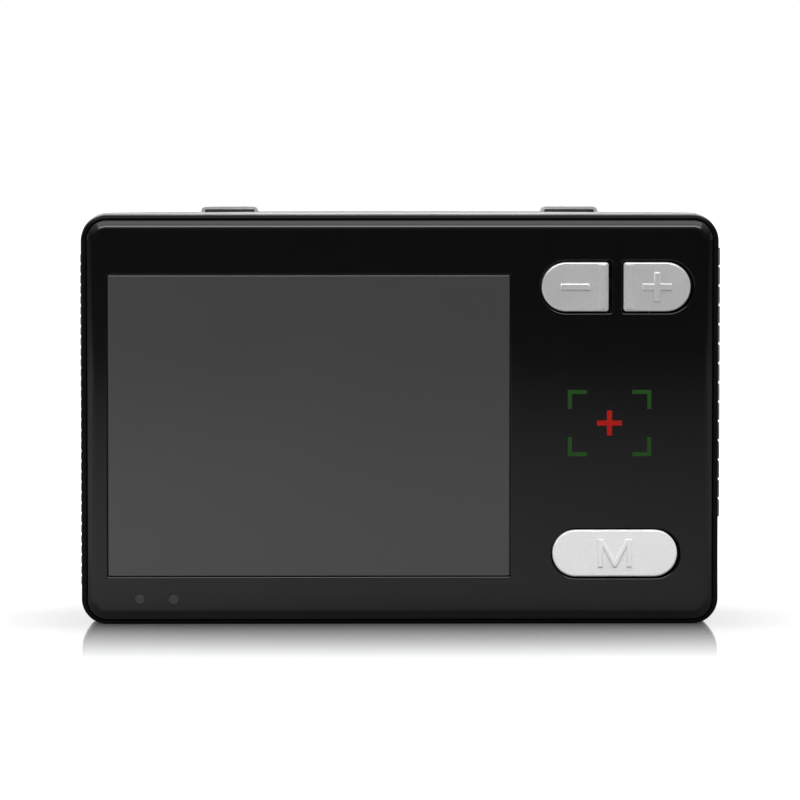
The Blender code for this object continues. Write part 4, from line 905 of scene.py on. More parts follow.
@dataclass
class FrontFace:
    """The glossy front panel, the screen in it, its printed aim and its lamps."""

    corner: float = 3.5 * MM
    slope_width: float = 1.2 * MM
    slope_depth: float = 0.9 * MM
    outer_round: float = 0.3 * MM
    inner_round: float = 0.52 * MM
    opening_round: float = 0.17 * MM
    window_gap: float = 0.15 * MM
    opening_corner: float = 0.3 * MM
    window_corner: float = 0.25 * MM
    window_edge: float = 0.1 * MM
    ink: float = 0.02 * MM
    bracket_width: float = 14.6 * MM
    bracket_height: float = 11.6 * MM
    bracket_arm: float = 3.35 * MM
    bracket_line: float = 0.72 * MM
    cross_length: float = 4.36 * MM
    cross_bar: float = 0.9 * MM
    lamp_gap: float = 0.02 * MM

    def build(self, keys: KeyFaces) -> None:
        """Makes the panel, the screen, the print and the lamps.

        Args:
            keys: the front keys' outlines.
        """
        self.build_panel(keys)
        self.build_screen()
        self.build_aim()
        for name in INDICATORS:
            self.build_lamp(name)

    def build_panel(self, keys: KeyFaces) -> None:
        """A plate with a sloped border, and openings for the screen, the keys and the lamps.

        Args:
            keys: the front keys' outlines.
        """
        box = Box.of("front_panel")
        shoulder = box.front + self.slope_depth
        mesh = plate(box.between(shoulder, box.back), self.corner, 18)
        face = min(mesh.faces, key=lambda item: item.calc_center_median().y)
        bmesh.ops.inset_region(
            mesh, faces=[face], thickness=self.slope_width, depth=self.slope_depth, use_even_offset=True
        )
        soften(mesh, at_y(shoulder), self.outer_round, 4)
        soften(mesh, at_y(box.front), self.inner_round, 5)
        front, back = box.front - MM, box.back + MM
        screen = Box.of("screen_window").grown(self.window_gap).between(front, back)
        openings = [keys.opening(name, 0, front, back) for name in FRONT_KEYS]
        mesh = cut(mesh, plate(screen, self.opening_corner, 4), *openings)
        soften(mesh, at_y(box.front, RIM_ANGLE), self.opening_round)
        lamps = [Box.of(name) for name in INDICATORS]
        sockets = [rod(lamp, lamp.width / 2 + self.lamp_gap, front, back, 40) for lamp in lamps]
        publish(cut(mesh, *sockets), "front_panel_gloss", Palette.PANEL.value, replaces=["front_panel"])

    def build_screen(self) -> None:
        """The screen's window, bonded over the dark display."""
        box = Box.of("screen_window")
        mesh = plate(box, self.window_corner, 4)
        soften(mesh, at_y(box.front), self.window_edge, 2)
        publish(mesh, "screen_pane", Palette.SCREEN.value, replaces=["screen_window"])

    def build_aim(self) -> None:
        """Four green corner brackets and a red cross, printed where the camera looks."""
        ring = Box.of("camera_ring")
        front = Box.of("front_panel").front
        half_width, half_height = self.bracket_width / 2, self.bracket_height / 2
        arm, line, ink = self.bracket_arm, self.bracket_line, self.ink
        corner = ((0, 0), (arm, 0), (arm, line), (line, line), (line, arm), (0, arm))
        brackets = bmesh.new()
        for side in (-1, 1):
            for end in (-1, 1):
                outline = [
                    (ring.x + side * (half_width - across), ring.z + end * (half_height - up))
                    for across, up in corner
                ]
                drawn(outline, front - ink, front + ink, brackets)
        publish(brackets, "aim_brackets", Palette.GREEN.value)
        cross = cross_outline(ring.x, ring.z, self.cross_length, self.cross_bar)
        publish(drawn(cross, front - ink, front + ink), "aim_cross", Palette.RED.value)

    def build_lamp(self, name: str) -> None:
        """The slightly domed end of an indicator's light pipe.

        Args:
            name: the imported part.
        """
        box = Box.of(name)
        radius, edge = box.width / 2, self.window_edge
        dome = ((0, 0), (0.5, 0.15), (0.8, 0.45), (0.94, 0.8), (1, 1.6))
        profile = [(radius * out, box.front + edge * back) for out, back in dome]
        profile += [(radius, box.back), (0, box.back)]
        publish(turned(profile, box, 40), f"{name}_lens", Palette.LAMP.value, replaces=[name])


def cross_outline(x: float, z: float, length: float, bar: float) -> list[Point]:
    """The outline of an upright cross.

    Args:
        x: its middle across.
        z: its middle height.
        length: how long both bars are.
        bar: how thick they are.

    Returns:
        Its twelve points in order.
    """
    far, near = length / 2, bar / 2
    quarter = ((near, near), (near, far), (-near, far), (-near, near), (-far, near), (-far, -near))
    points = [*quarter, *((-across, -up) for across, up in quarter)]
    return [(x + across, z + up) for across, up in points]


@dataclass
class FrontKeys:
    """The minus and plus zoom keys and the mode key, with their raised marks."""

    faces: KeyFaces
    edge: float = 0.35 * MM
    mark_edge: float = 0.22 * MM
    mark_height: float = 0.3 * MM
    cap_front: float = 0.15 * MM
    cap_depth: float = 4.55 * MM
    mark_length: float = 5.2 * MM
    mark_bar: float = 1.2 * MM
    ridge_width: float = 1.5 * MM
    ridge_height: float = 0.25 * MM
    ridge_edge: float = 0.28 * MM
    letter_width: float = 6.0 * MM
    letter_height: float = 4.9 * MM
    letter_stroke: float = 0.95 * MM
    letter_foot: float = 0.32 * MM
    letter_start: float = 0.42
    letter_notch: float = 0.5
    letter_slant: float = 1.15

    def build(self) -> None:
        """Makes the three keys."""
        for name in FRONT_KEYS:
            self.build_key(name)

    def build_key(self, name: str) -> None:
        """One key: a cap with rounded edges and its raised mark.

        Args:
            name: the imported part.
        """
        box = self.faces.face(name)
        front = Box.of(name).front + self.cap_front
        mesh = self.faces.solid(name, box.between(front, front + self.cap_depth))
        soften(mesh, at_y(front), self.edge, 5)
        mesh = add(mesh, *self.marks(name, box, front))
        soften(mesh, at_y(front - self.mark_height), self.mark_edge)
        finish = Palette.MODE if name == "mode_key" else Palette.KEYS
        publish(mesh, f"{name}_cap", finish.value, name.removesuffix("_key"), [name])

    def marks(self, name: str, box: Box, front: float) -> list[Mesh]:
        """The raised solids on a key's face.

        Args:
            name: the key.
            box: its face.
            front: the depth of its face.

        Returns:
            One mesh for each raised solid.
        """
        raised, sunk = front - self.mark_height, front + self.edge
        ridge_front = front - self.ridge_height
        if name == "mode_key":
            return [drawn(self.letter(box.x, box.z), raised, sunk)]
        bottom, top = box.bottom + self.edge, box.top - self.edge
        if name == "minus_key":
            half, bar = self.mark_length / 2, self.mark_bar / 2
            mark = plate(Box(box.x - half, box.x + half, raised, sunk, box.z - bar, box.z + bar))
            left = box.right - self.edge - self.ridge_width
        else:
            mark = drawn(cross_outline(box.x, box.z, self.mark_length, self.mark_bar), raised, sunk)
            left = box.left + self.edge
        ridge = plate(Box(left, left + self.ridge_width, ridge_front, sunk, bottom, top))
        soften(ridge, at_y(ridge_front), self.ridge_edge)
        return [mark, ridge]

    def letter(self, x: float, z: float) -> list[Point]:
        """The outline of the mode key's mark: two legs and a notch between them.

        Args:
            x: its middle across.
            z: its middle height.

        Returns:
            Its points in order.
        """
        far, tall, stroke = self.letter_width / 2, self.letter_height / 2, self.letter_stroke
        right = [(self.letter_foot, -tall), (far - stroke, tall * self.letter_start), (far - stroke, -tall)]
        right += [(far, -tall), (far, tall), (far - stroke * self.letter_slant, tall)]
        left = [(-across, up) for across, up in reversed(right)]
        return [(x + across, z + up) for across, up in [*right, (0, -tall * self.letter_notch), *left]]


@dataclass
class Shells:
    """The front shell, the silver band and the rear shell that make the body."""

    corner: float = 4.5 * MM
    seat_corner: float = 3.65 * MM
    hollow_corner: float = 3.0 * MM
    wall: float = 1.5 * MM
    rim_round: float = 0.6 * MM
    back_round: float = 2.5 * MM
    seam_round: float = 0.15 * MM
    mouth_round: float = 0.12 * MM
    joint_line: float = 0.02 * MM
    bed: float = 1.8 * MM
    band_round: float = 0.5 * MM
    band_proud: float = 0.15 * MM
    crown: float = 0.3 * MM
    crown_cuts: int = 23
    floor: float = 1.2 * MM
    seam: float = 0.2 * MM
    fit: float = 0.15 * MM
    room: float = 0.3 * MM
    key_lip: float = 0.7 * MM
    slot_below: float = 4.0 * MM
    socket_depth: float = 3.0 * MM
    pad_gap: float = 0.36 * MM
    right_extra: float = 0.3 * MM
    pad_round: float = 0.16 * MM
    pad_margin: float = 0.9 * MM
    left_pitch: float = 1.83 * MM
    right_pitch: float = 3.41 * MM
    left_start: float = 6.2 * MM
    right_start: float = 18.1 * MM
    right_end: float = 5.0 * MM
    door_plate: float = 1.4 * MM
    door_lip: float = 0.8 * MM
    door_bed: float = 0.45 * MM
    rail_stop: float = 0.7 * MM
    light_hole: float = 1.65 * MM
    eye_lip: float = 0.75 * MM
    screw_head: float = 1.2 * MM
    play: float = 0.1 * MM

    def build(self, keys: KeyFaces) -> None:
        """Makes the three shells.

        Args:
            keys: the front keys' outlines.
        """
        self.build_front(keys)
        self.build_band()
        self.build_rear()

    def build_front(self, keys: KeyFaces) -> None:
        """The black frame round the panel, with the floor behind it.

        Args:
            keys: the front keys' outlines.
        """
        box = Box.of("front_housing")
        box = box.between(box.front, Box.of("mid_frame").front - self.joint_line)
        panel = Box.of("front_panel")
        mesh = plate(box, self.corner, 18)
        soften(mesh, at_y(box.front), self.rim_round, 6)
        soften(mesh, at_y(box.back), self.seam_round, 2)
        floor_front = panel.back + self.seam
        floor_back = floor_front + self.floor
        through = floor_back + MM
        seat = panel.grown(self.fit).between(box.front - MM, floor_front)
        cavity = box.grown(-self.wall).between(floor_back, box.back + MM)
        view = Box.of("screen_window").grown(self.room).between(box.front, through)
        tools = [plate(seat, self.seat_corner, 18), plate(cavity, self.hollow_corner, 12), plate(view)]
        tools += [keys.opening(name, self.fit, box.front, through) for name in FRONT_KEYS]
        lamps = [Box.of(name) for name in INDICATORS]
        tools += [rod(lamp, lamp.width / 2 + self.room, box.front, through, 24) for lamp in lamps]
        publish(cut(mesh, *tools), "front_shell", Palette.SHELL.value, replaces=["front_housing"])

    def pads(self, side: int, outer: float, front: float, back: float, top: float) -> list[Mesh]:
        """The row of raised grip pads down one side of the band.

        Args:
            side: -1 for the left and 1 for the right.
            outer: how far out the pads reach.
            front: the depth of their fronts.
            back: the depth of their backs.
            top: the height that the row stays under.

        Returns:
            One mesh for each pad.
        """
        pitch = self.left_pitch if side < 0 else self.right_pitch
        start = self.left_start if side < 0 else self.right_start
        ends = sorted((side * (outer - MM), side * outer))
        made = []
        for step in range(int((top - start) / pitch)):
            low = start + step * pitch + self.pad_gap / 2
            pad = plate(Box(*ends, front, back, low, low + pitch - self.pad_gap))
            soften(pad, lambda edge: lies_at(edge, 0, side * outer), self.pad_round)
            made.append(pad)
        return made

    def build_band(self) -> None:
        """A ring with a bowed top, grip pads down both sides, and openings for top keys and socket."""
        box = Box.of("mid_frame")
        shell = Box.of("front_housing").between(box.front, box.back)
        ring = replace(shell.grown(self.band_proud, 0), top=box.top - self.crown)
        mesh = plate(ring, self.corner, 18)
        long_edges = [
            edge
            for edge in mesh.edges
            if lies_at(edge, 2, ring.top) and abs(edge.verts[0].co.x - edge.verts[1].co.x) > MM
        ]
        bmesh.ops.subdivide_edges(mesh, edges=long_edges, cuts=self.crown_cuts, use_grid_fill=True)
        reach = ring.right - self.corner
        for vert in mesh.verts:
            if abs(vert.co.z - ring.top) < TINY:
                vert.co.z += self.crown * max(0.0, 1 - (vert.co.x / reach) ** 2)
        for depth in (ring.front, ring.back):
            soften(mesh, at_y(depth), self.band_round, 4)
        hollow = ring.grown(-self.wall - self.band_proud, -self.wall, MM)
        tools = [plate(hollow, self.hollow_corner, 12)]
        grow = self.fit - self.key_lip
        for name in ("power_key", "freeze_key"):
            slot = replace(Box.of(name), bottom=ring.top - self.slot_below, top=ring.top + 3 * MM)
            tools.append(plate(slot.grown(grow, 0, grow)))
        socket = Box.of("usb_socket")
        left, right = socket.right - self.socket_depth, socket.right + self.socket_depth
        tools.append(plate(replace(socket, left=left, right=right).grown(0, self.fit, self.fit)))
        front, back = ring.front + self.pad_margin, ring.back - self.pad_margin
        pads = self.pads(-1, -box.left, front, back, ring.top - self.left_start)
        pads += self.pads(1, box.right + self.right_extra, front, back, ring.top - self.right_end)
        publish(cut(add(mesh, *pads), *tools), "silver_band", Palette.SILVER.value, replaces=["mid_frame"])

    def build_rear(self) -> None:
        """The black back, with the battery's bay, its door's recess and the holes for what sits in it."""
        box = Box.of("front_housing").between(
            Box.of("mid_frame").back + self.joint_line, Box.of("rear_housing").back
        )
        mesh = plate(box, self.corner, 18)
        soften(mesh, at_y(box.back), self.back_round, 10)
        soften(mesh, at_y(box.front), self.seam_round, 2)
        through = box.back + MM
        door = Box.of("battery_door")
        plate_front = box.back - self.door_plate
        hollow = box.grown(-self.wall).between(box.front - MM, box.back - self.wall - self.bed)
        bay = replace(Box.of("battery"), right=Box.of("battery_contacts").right)
        bay = bay.grown(self.fit).between(box.front - MM, through)
        face = door.grown(0, -self.door_lip)
        recess = face.grown(self.fit).between(plate_front - self.door_bed, through)
        recess = replace(recess, left=box.left - MM)
        rail = Box(
            box.left - MM,
            face.right - self.rail_stop,
            door.front - self.room,
            plate_front + self.room,
            door.bottom - self.room,
            door.top + self.room,
        )
        tools = [plate(hollow, self.hollow_corner, 12), plate(bay), plate(recess), plate(rail)]
        mesh = cut(mesh, *tools, *self.holes(box, through))
        soften(mesh, at_y(box.back, MOUTH_ANGLE), self.mouth_round, 2)
        publish(mesh, "rear_shell", Palette.BACK.value, replaces=["rear_housing"])

    def holes(self, box: Box, through: float) -> list[Mesh]:
        """The round holes and seats in the back.

        Args:
            box: the rear shell.
            through: a depth behind its back.

        Returns:
            One mesh for each hole.
        """
        ring, window = Box.of("camera_ring"), Box.of("camera_window")
        seat, glass = ring.width / 2 + self.fit, window.width / 2 + self.fit
        eye = glass - self.eye_lip
        pane, bezel = window.front - self.play, ring.front - self.play
        steps = [(0, box.front), (eye, box.front), (eye, pane), (glass, pane)]
        steps += [(glass, bezel), (seat, bezel), (seat, through), (0, through)]
        made = [turned(steps, ring, 72)]
        made += [rod(Box.of(name), self.light_hole, box.front, through, 36) for name in READING_LIGHTS]
        for number in range(1, 5):
            screw, foot = Box.of(f"housing_screw_{number}"), Box.of(f"rubber_foot_{number}")
            made.append(rod(screw, screw.width / 2 + self.fit, screw.back - self.screw_head, through, 40))
            made.append(rod(foot, foot.width / 2 + self.fit, foot.front - self.play, through, 48))
        return made


@dataclass
class TopKeys:
    """The power and freeze keys, silver caps whose inset front face is painted dark, a painted shade and
    painted reflection of the black bezel.
    """

    lip: float = 0.7 * MM
    height: float = 3.2 * MM
    corner: float = 0.9 * MM
    edge: float = 0.12 * MM
    border: float = 0.6 * MM
    inset: float = 0.2 * MM
    inset_slope: float = 0.04 * MM
    bump_height: float = 0.08 * MM
    bump_width: float = 0.7 * MM
    bump_length: float = 1.8 * MM
    bump_round: float = 0.06 * MM
    bump_root: float = 0.3 * MM
    bump_shift: float = 0.3 * MM
    spacing: float = 1.7 * MM

    def build(self) -> None:
        """Makes both keys."""
        self.build_key("power_key", 1)
        self.build_key("freeze_key", 2)

    def build_key(self, name: str, bumps: int) -> None:
        """One key.

        Args:
            name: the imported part.
            bumps: how many raised bars mark its top.
        """
        box = Box.of(name)
        face = replace(box.grown(-self.lip, 0, -self.lip), bottom=box.top - self.height)
        mesh = plate(face, [0, 0, self.corner, self.corner], 8)
        front = min(mesh.faces, key=lambda item: item.calc_center_median().y)
        for width, depth in ((self.border, 0.0), (self.inset_slope, -self.inset)):
            bmesh.ops.inset_region(mesh, faces=[front], thickness=width, depth=depth, use_even_offset=True)
        # The inset front face gets the dark finish: painted shade and a painted reflection of the black
        # bezel.
        front.material_index = 1
        for depth in (face.front, face.back):
            square = at_y(depth, RIM_ANGLE)
            soften(mesh, lambda edge: square(edge) and self.on_outline(edge, face), self.edge)
        mesh = add(mesh, *(self.bump(face, step - (bumps - 1) / 2) for step in range(bumps)))
        body, finish = name.removesuffix("_key"), Palette.KEYS.value
        publish(mesh, f"{name}_cap", finish, body, [name], more=[Palette.RECESS.value])

    def bump(self, face: Box, place: float) -> Mesh:
        """A raised bar on a cap's top.

        Args:
            face: the cap.
            place: how many spacings it is from the middle of the row.

        Returns:
            The new mesh.
        """
        x = face.x - self.bump_shift + place * self.spacing
        half, reach, top = self.bump_width / 2, self.bump_length / 2, face.top + self.bump_height
        bar = plate(Box(x - half, x + half, face.y - reach, face.y + reach, face.top - self.bump_root, top))
        soften(bar, lambda edge: lies_at(edge, 2, top), self.bump_round, 2)
        return bar

    def on_outline(self, edge: Edge, face: Box) -> bool:
        """Whether an edge is on the cap's outline and not on the inset's.

        Args:
            edge: the edge.
            face: the cap.

        Returns:
            True on the outline.
        """
        across = max(abs(vert.co.x - face.x) for vert in edge.verts)
        heights = [vert.co.z for vert in edge.verts]
        near = self.border / 2
        wide, high = across > face.width / 2 - near, max(heights) > face.top - near
        return wide or high or min(heights) < face.bottom + TINY


@dataclass
class BackPieces:
    """The battery door, the camera's ring and window, its lights, the screws and the feet."""

    shells: Shells
    rib_width: float = 0.7 * MM
    rib_pitch: float = 1.9 * MM
    rib_length: float = 15.0 * MM
    rib_taper: float = 1.2 * MM
    rib_height: float = 0.25 * MM
    rib_round: float = 0.14 * MM
    rib_start: float = 8.0 * MM
    rib_count: int = 5
    root: float = 0.2 * MM
    rail_margin: float = 0.3 * MM
    ring_bore: float = 4.7 * MM
    ring_step: float = 0.9 * MM
    ring_round: float = 0.25 * MM
    bevel: float = 0.08 * MM
    pane_edge: float = 0.12 * MM
    light_radius: float = 1.5 * MM
    light_neck: float = 3.3 * MM
    light_flange: float = 0.6 * MM
    shank: float = 0.9 * MM
    foot_round: float = 0.45 * MM
    foot_dish: float = 0.1 * MM
    head_round: float = 0.25 * MM
    cross_length: float = 2.2 * MM
    cross_bar: float = 0.5 * MM
    cross_depth: float = 0.6 * MM

    def build(self) -> None:
        """Makes every piece on the back."""
        self.build_door()
        self.build_camera()
        for name in READING_LIGHTS:
            self.build_light(name)
        for number in range(1, 5):
            self.build_screw(number)
            self.build_foot(number)

    def build_door(self) -> None:
        """The sliding door: a plate that follows the body's rounded edge, its rails and finger ribs."""
        node = Box.of("battery_door")
        back = node.back
        front = back - self.shells.door_plate
        shell = Box.of("front_housing")
        body = plate(shell.between(shell.front, back), self.shells.corner, 18)
        soften(body, at_y(back), self.shells.back_round, 10)
        slab = replace(node.grown(0, -self.shells.door_lip).between(front, back + MM), left=node.left - MM)
        mesh = combined(body, Join.KEEP_COMMON, [plate(slab)])
        rails = node.between(node.front, front + self.root)
        rails = replace(rails, left=node.left + self.rail_margin, right=node.right - MM)
        ribs = []
        for step in range(self.rib_count):
            x = node.left + self.rib_start + step * self.rib_pitch
            half = self.rib_length / 2 - abs(step - (self.rib_count - 1) / 2) * self.rib_taper
            top = back + self.rib_height
            box = Box(x, x + self.rib_width, back - self.root, top, node.z - half, node.z + half)
            rib = plate(box, self.rib_width / 2 - TINY * 10, 6)
            soften(rib, at_y(top), self.rib_round)
            ribs.append(rib)
        mesh = add(mesh, plate(rails), *ribs)
        publish(mesh, "battery_door_cover", Palette.BACK.value, "door", ["battery_door"])

    def build_camera(self) -> None:
        """The ring and the window inside it."""
        ring, window = Box.of("camera_ring"), Box.of("camera_window")
        outer, bore, small, large = ring.width / 2, self.ring_bore, self.bevel, self.ring_round
        profile = [(bore, ring.front), (outer, ring.front), (outer, ring.back - large)]
        profile += [(outer - small, ring.back - small), (outer - large, ring.back)]
        profile += [(bore + self.ring_step, ring.back), (bore + 0.7 * MM, ring.back - 0.06 * MM)]
        profile += [(bore, ring.front + 0.35 * MM)]
        mesh = turned(profile, ring, 96)
        publish(mesh, "camera_bezel", Palette.SILVER.value, replaces=["camera_ring"])
        radius, edge = window.width / 2, self.pane_edge
        profile = [(0, window.front), (radius - edge, window.front), (radius, window.front + edge)]
        profile += [(radius, window.back - edge), (radius - edge, window.back), (0, window.back)]
        mesh = turned(profile, window, 72)
        publish(mesh, "camera_window_pane", Palette.CLEAR.value, replaces=["camera_window"])

    def build_light(self, name: str) -> None:
        """A reading light: a dome on a neck, a flange and a thin lead end.

        Args:
            name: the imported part.
        """
        light = Box.of(name)
        radius, flange = self.light_radius, light.width / 2
        base = light.back - radius - self.light_neck
        lead = base - self.light_flange
        profile = [(0, light.front), (MM, light.front), (MM, lead), (flange, lead), (flange, base)]
        profile += [(radius, base), *rounded(radius, light.back, radius, 10)]
        publish(turned(profile, light, 48), f"{name}_dome", light_finish(light), replaces=[name])

    def build_screw(self, number: int) -> None:
        """A housing screw: a pan head with a cross cut in it.

        Args:
            number: which screw.
        """
        box = Box.of(f"housing_screw_{number}")
        radius, back, large, small = box.width / 2, box.back, self.head_round, self.bevel
        head = back - self.shells.screw_head
        profile = [(0, box.front), (self.shank, box.front), (self.shank, head), (radius, head)]
        profile += [(radius, back - large), (radius - 0.07 * MM, back - small)]
        profile += [(radius - large, back), (0, back)]
        cross = cross_outline(box.x, box.z, self.cross_length, self.cross_bar)
        mesh = cut(turned(profile, box, 40), drawn(cross, back - self.cross_depth, back + MM))
        publish(mesh, f"screw_{number}", Palette.STEEL.value, replaces=[f"housing_screw_{number}"])

    def build_foot(self, number: int) -> None:
        """A round rubber foot with a soft edge and a shallow dish.

        Args:
            number: which foot.
        """
        box = Box.of(f"rubber_foot_{number}")
        radius, back = box.width / 2, box.back
        profile = [(0, box.front), (radius, box.front), *rounded(radius, back, self.foot_round, 4)]
        profile += [(radius * 0.7, back), (radius * 0.6, back - self.bevel), (0, back - self.foot_dish)]
        mesh = turned(profile, box, 48)
        publish(mesh, f"foot_{number}", Palette.RUBBER.value, replaces=[f"rubber_foot_{number}"])


@dataclass
class ChargePort:
    """The charging socket in the right side."""

    wall: float = 0.4 * MM
    mouth: float = 6.2 * MM
    corner: float = 0.7 * MM
    tongue_width: float = 4.6 * MM
    tongue_thickness: float = 0.9 * MM
    tongue_root: float = 0.3 * MM
    tongue_round: float = 0.12 * MM

    def build(self) -> None:
        """A steel sleeve with rounded corners and a dark contact tongue."""
        box = Box.of("usb_socket")
        hollow = replace(box, left=box.right - self.mouth, right=box.right + MM)
        hollow = hollow.grown(0, -self.wall, -self.wall)
        mesh = cut(self.block(box, self.corner), self.block(hollow, self.corner - self.wall))
        publish(mesh, "charge_port_sleeve", Palette.STEEL.value, replaces=["usb_socket"])
        half, thin = self.tongue_width / 2, self.tongue_thickness / 2
        ends = (box.right - self.mouth - self.tongue_root, box.right - MM)
        tongue = plate(Box(*ends, box.y - thin, box.y + thin, box.z - half, box.z + half))
        soften(tongue, lambda edge: lies_at(edge, 0, box.right - MM), self.tongue_round, 2)
        publish(tongue, "charge_port_tongue", Palette.DARK.value)

    def block(self, box: Box, corner: float) -> Mesh:
        """A block whose four long edges are rounded.

        Args:
            box: the space it fills.
            corner: the radius of its edges.

        Returns:
            The new mesh.
        """
        mesh = plate(box)
        soften(mesh, lambda edge: abs(edge.verts[0].co.x - edge.verts[1].co.x) > MM, corner, 5)
        return mesh


@dataclass
class Internals:
    """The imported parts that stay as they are, and what each is made of."""

    finishes: tuple[tuple[Palette, tuple[str, ...]], ...] = (
        (Palette.STEEL, STEEL_PARTS),
        (Palette.DISPLAY, ("display_glass",)),
        (Palette.RIBBON, ("display_ribbon", "camera_ribbon")),
        (Palette.BOARD, ("main_board", "camera_board")),
        (Palette.LENS, ("objective_lens",)),
        (Palette.WRAP, ("battery",)),
        (Palette.LAMP, ("power_led", "charge_led")),
    )

    def dress(self) -> None:
        """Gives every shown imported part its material."""
        chosen = {name: finish for finish, names in self.finishes for name in names}
        for name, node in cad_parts.items():
            if node.hide_render:
                continue
            finish = chosen.get(name, Palette.DARK).value
            material = finish.material()
            for slot in node.material_slots:
                slot.material = material
            if not node.material_slots:
                node.data.materials.append(material)
            log.info("%s: %s", name, material.name)


# The studio.


@dataclass
class Studio:
    """A pale floor and backdrop, soft lights and the camera."""

    distance: float = 1.0
    field: float = 139.64 * MM
    aim_height: float = 39.36 * MM
    elevation: float = 3.4
    azimuth: float = -0.7
    sensor: float = 36.0
    soft_light: float = 0.5
    mirrored_light: float = 0.07
    mirrored_top: float = 0.7
    floor_size: float = 6.0
    floor_drop: float = 0.02 * MM
    floor_white: float = 0.95
    floor_glow: float = 0.7
    floor_roughness: float = 0.06
    floor_sheen: float = 0.94
    sheen_reach: float = 0.112
    wall_distance: float = 4.0
    wall_height: float = 1.2

    def build(self) -> None:
        """Makes the floor, the backdrop, the lights, the world and the camera."""
        low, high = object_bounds()
        self.build_floor(low, high)
        self.build_wall()
        self.build_lights()
        self.build_world()
        self.build_camera()

    def build_floor(self, low: Vector, high: Vector) -> None:
        """A wide white floor with a gloss near the magnifier.

        Args:
            low: the magnifier's lowest corner.
            high: its highest corner.
        """
        mesh = bmesh.new()
        bmesh.ops.create_grid(mesh, x_segments=4, y_segments=4, size=self.floor_size)
        bmesh.ops.translate(mesh, verts=mesh.verts, vec=(0, 0, low.z - self.floor_drop))
        for face in mesh.faces:
            face.smooth = True
        floor = as_object(mesh, "floor")
        floor.data.materials.append(self.floor_material((high - low) / 2))
        floor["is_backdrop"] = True

    def floor_material(self, half: Vector) -> bpy.types.Material:
        """White to the camera and mirroring the magnifier near it. Where it is itself mirrored, its colour
        is painted light: brighter to the left than the right, fading far ahead, with a painted shade just in
        front of the magnifier.

        Args:
            half: half the magnifier's size.

        Returns:
            The material.
        """
        material, graph = Graph.of_material("pale_floor")
        place = graph.places()
        ahead = graph.product(place["Y"], -1.0)
        # Painted light in the mirrored colour: brighter to the left than the right, fading far ahead, and a
        # painted shade just in front of the magnifier.
        across = graph.ramp(place["X"], -0.08, 0.08, (1.1, 0.66))
        far = graph.ramp(ahead, 0.1, 0.9, (0.46, 0.07))
        painted_contact_shade = graph.ramp(ahead, 0.012, 0.045, (0.5, 1.0))
        seen = graph.add("LightPath").outputs["Is Camera Ray"]
        shade = graph.product(graph.maths("SUBTRACT", 1.0, seen), graph.product(far, painted_contact_shade, across))
        value = graph.maths("ADD", graph.product(seen, self.floor_white), shade)
        colour = graph.add("CombineColor", {0: value, 1: value, 2: value}).outputs[0]
        matt = graph.add("BsdfDiffuse", {"Color": colour}).outputs[0]
        glow = graph.add("Emission", {"Strength": graph.product(seen, self.floor_glow)}).outputs[0]
        white = graph.add("AddShader", {0: matt, 1: glow}).outputs[0]
        sheen = graph.add("BsdfAnisotropic", {"Roughness": self.floor_roughness}).outputs[0]
        away: object = 0.0
        for axis, reach in (("X", half.x), ("Y", half.y)):
            outside = graph.maths("SUBTRACT", graph.maths("ABSOLUTE", place[axis]), reach)
            away = graph.maths("ADD", graph.maths("MAXIMUM", outside, 0.0), away)
        near = graph.ramp(away, 0.0, self.sheen_reach, (self.floor_sheen, 0.0))
        grazing = graph.ramp(graph.add("LayerWeight").outputs["Facing"], 0.83, 0.885)
        amount = graph.product(near, grazing, seen)
        mixed = graph.add("MixShader", {0: amount, 1: white, 2: sheen}).outputs[0]
        graph.add("OutputMaterial", {0: mixed})
        return material

    def build_wall(self) -> None:
        """A low round wall of white light, far off, dim in front where it is mirrored."""
        mesh = bmesh.new()
        bmesh.ops.create_circle(mesh, segments=64, radius=self.wall_distance)
        raised = bmesh.ops.extrude_edge_only(mesh, edges=mesh.edges[:])["geom"]
        verts = [item for item in raised if isinstance(item, bmesh.types.BMVert)]
        bmesh.ops.translate(mesh, verts=verts, vec=(0, 0, self.wall_height))
        material, graph = Graph.of_material("white_backdrop")
        mirrored = graph.ramp(graph.places()["Y"], -1.0, 1.0, (self.mirrored_light, 1.0))
        strength = graph.mix(graph.add("LightPath").outputs["Is Camera Ray"], mirrored, 1.0)
        glow = graph.add("Emission", {"Strength": strength})
        graph.add("OutputMaterial", {0: glow.outputs[0]})
        wall = as_object(mesh, "backdrop")
        wall.data.materials.append(material)
        wall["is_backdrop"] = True

    def lamp(
        self,
        name: str,
        place: Place,
        size: Point,
        power: float,
        mirrored: bool = True,
        tint: Colour = (1, 1, 1),
    ) -> None:
        """A soft rectangular light.

        Args:
            name: what it is called.
            place: where it stands.
            size: its width and height.
            power: its strength in watts.
            mirrored: whether glossy surfaces show it.
            tint: the colour of its light.
        """
        data = bpy.data.lights.new(name, "AREA")
        data.shape = "RECTANGLE"
        data.size, data.size_y = size
        data.energy = power
        data.color = tint
        light = bpy.data.objects.new(name, data)
        light.location = place
        aim = Vector((0, 0, self.aim_height))
        light.rotation_euler = (aim - light.location).to_track_quat("-Z", "Y").to_euler()
        light.visible_glossy = mirrored
        bpy.context.scene.collection.objects.link(light)

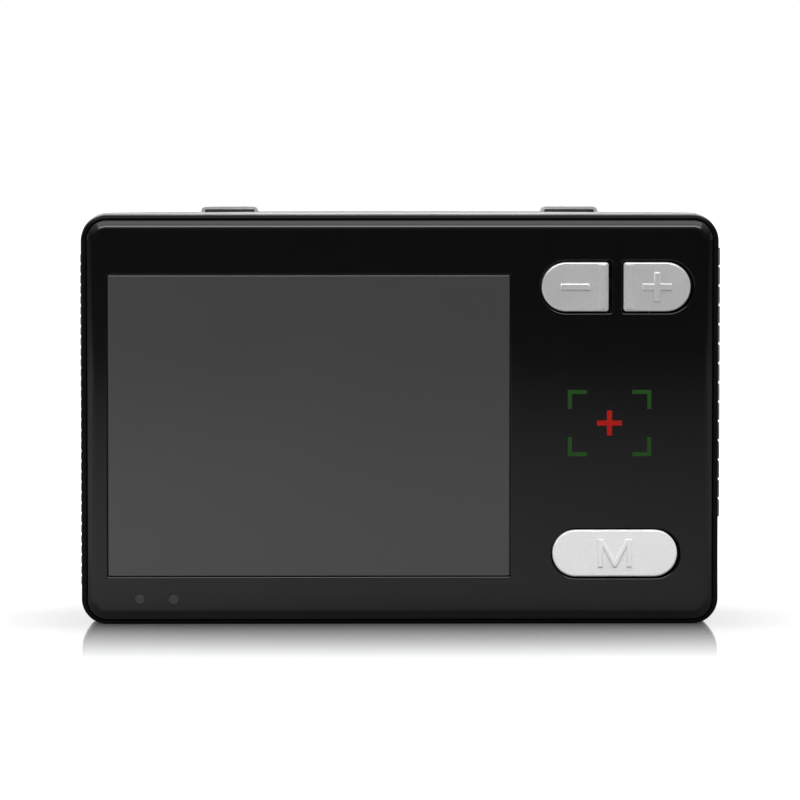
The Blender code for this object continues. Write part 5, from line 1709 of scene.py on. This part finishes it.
    def build_lights(self) -> None:
        """A softbox high in front, one overhead, one behind, and a narrow light at each side."""
        self.lamp("front_softbox", (0, -0.75, 0.75), (1.1, 0.3), 5.4)
        self.lamp("overhead_softbox", (0, -0.3, 0.85), (1.2, 0.35), 2.1, tint=(0.92, 0.95, 1.0))
        self.lamp("rear_softbox", (0, 0.35, 0.6), (1.2, 0.3), 2.6)
        self.lamp("left_strip", (-0.8, -0.5, 0.35), (0.15, 0.6), 1.4, mirrored=False)
        self.lamp("right_strip", (0.8, -0.5, 0.35), (0.15, 0.6), 1.3, mirrored=False)

    def build_world(self) -> None:
        """A white surrounding whose light on the magnifier is soft, and dim where it is mirrored."""
        world = bpy.data.worlds.new("studio")
        world.use_nodes = True
        graph = Graph(world.node_tree)
        path = graph.add("LightPath")
        height = graph.places("Generated")["Z"]
        dim = graph.ramp(height, 0.25, 0.8, (self.mirrored_light, self.mirrored_top))
        strength = graph.mix(path.outputs["Is Diffuse Ray"], dim, self.soft_light)
        strength = graph.mix(path.outputs["Is Camera Ray"], strength, 1.0)
        background = graph.add("Background", {"Strength": strength, "Color": (1, 1, 1, 1)})
        graph.add("OutputWorld", {0: background.outputs[0]})
        bpy.context.scene.world = world
        bpy.context.scene.view_settings.view_transform = "Standard"

    def build_camera(self) -> None:
        """A long lens, a little above and to the left of straight ahead."""
        data = bpy.data.cameras.new("camera")
        data.sensor_width = self.sensor
        data.lens = self.sensor * self.distance / self.field
        data.clip_start, data.clip_end = 0.01, 20.0
        camera = bpy.data.objects.new("camera", data)
        bpy.context.scene.collection.objects.link(camera)
        across, up = math.radians(self.azimuth), math.radians(self.elevation)
        back = Vector((math.sin(across) * math.cos(up), -math.cos(across) * math.cos(up), math.sin(up)))
        aim = Vector((0, Box.of("front_panel").front, self.aim_height))
        camera.location = aim + back * self.distance
        camera.rotation_euler = (-back).to_track_quat("-Z", "Y").to_euler()
        bpy.context.scene.camera = camera


def main() -> None:
    """Builds the studio and every sub-assembly."""
    logging.basicConfig(level=logging.INFO, format="%(name)s %(message)s")
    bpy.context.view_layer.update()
    Studio().build()
    keys, shells = KeyFaces(), Shells()
    FrontFace().build(keys)
    FrontKeys(keys).build()
    shells.build(keys)
    TopKeys().build()
    BackPieces(shells).build()
    ChargePort().build()
    Internals().dress()


if __name__ == "__main__":
    main()
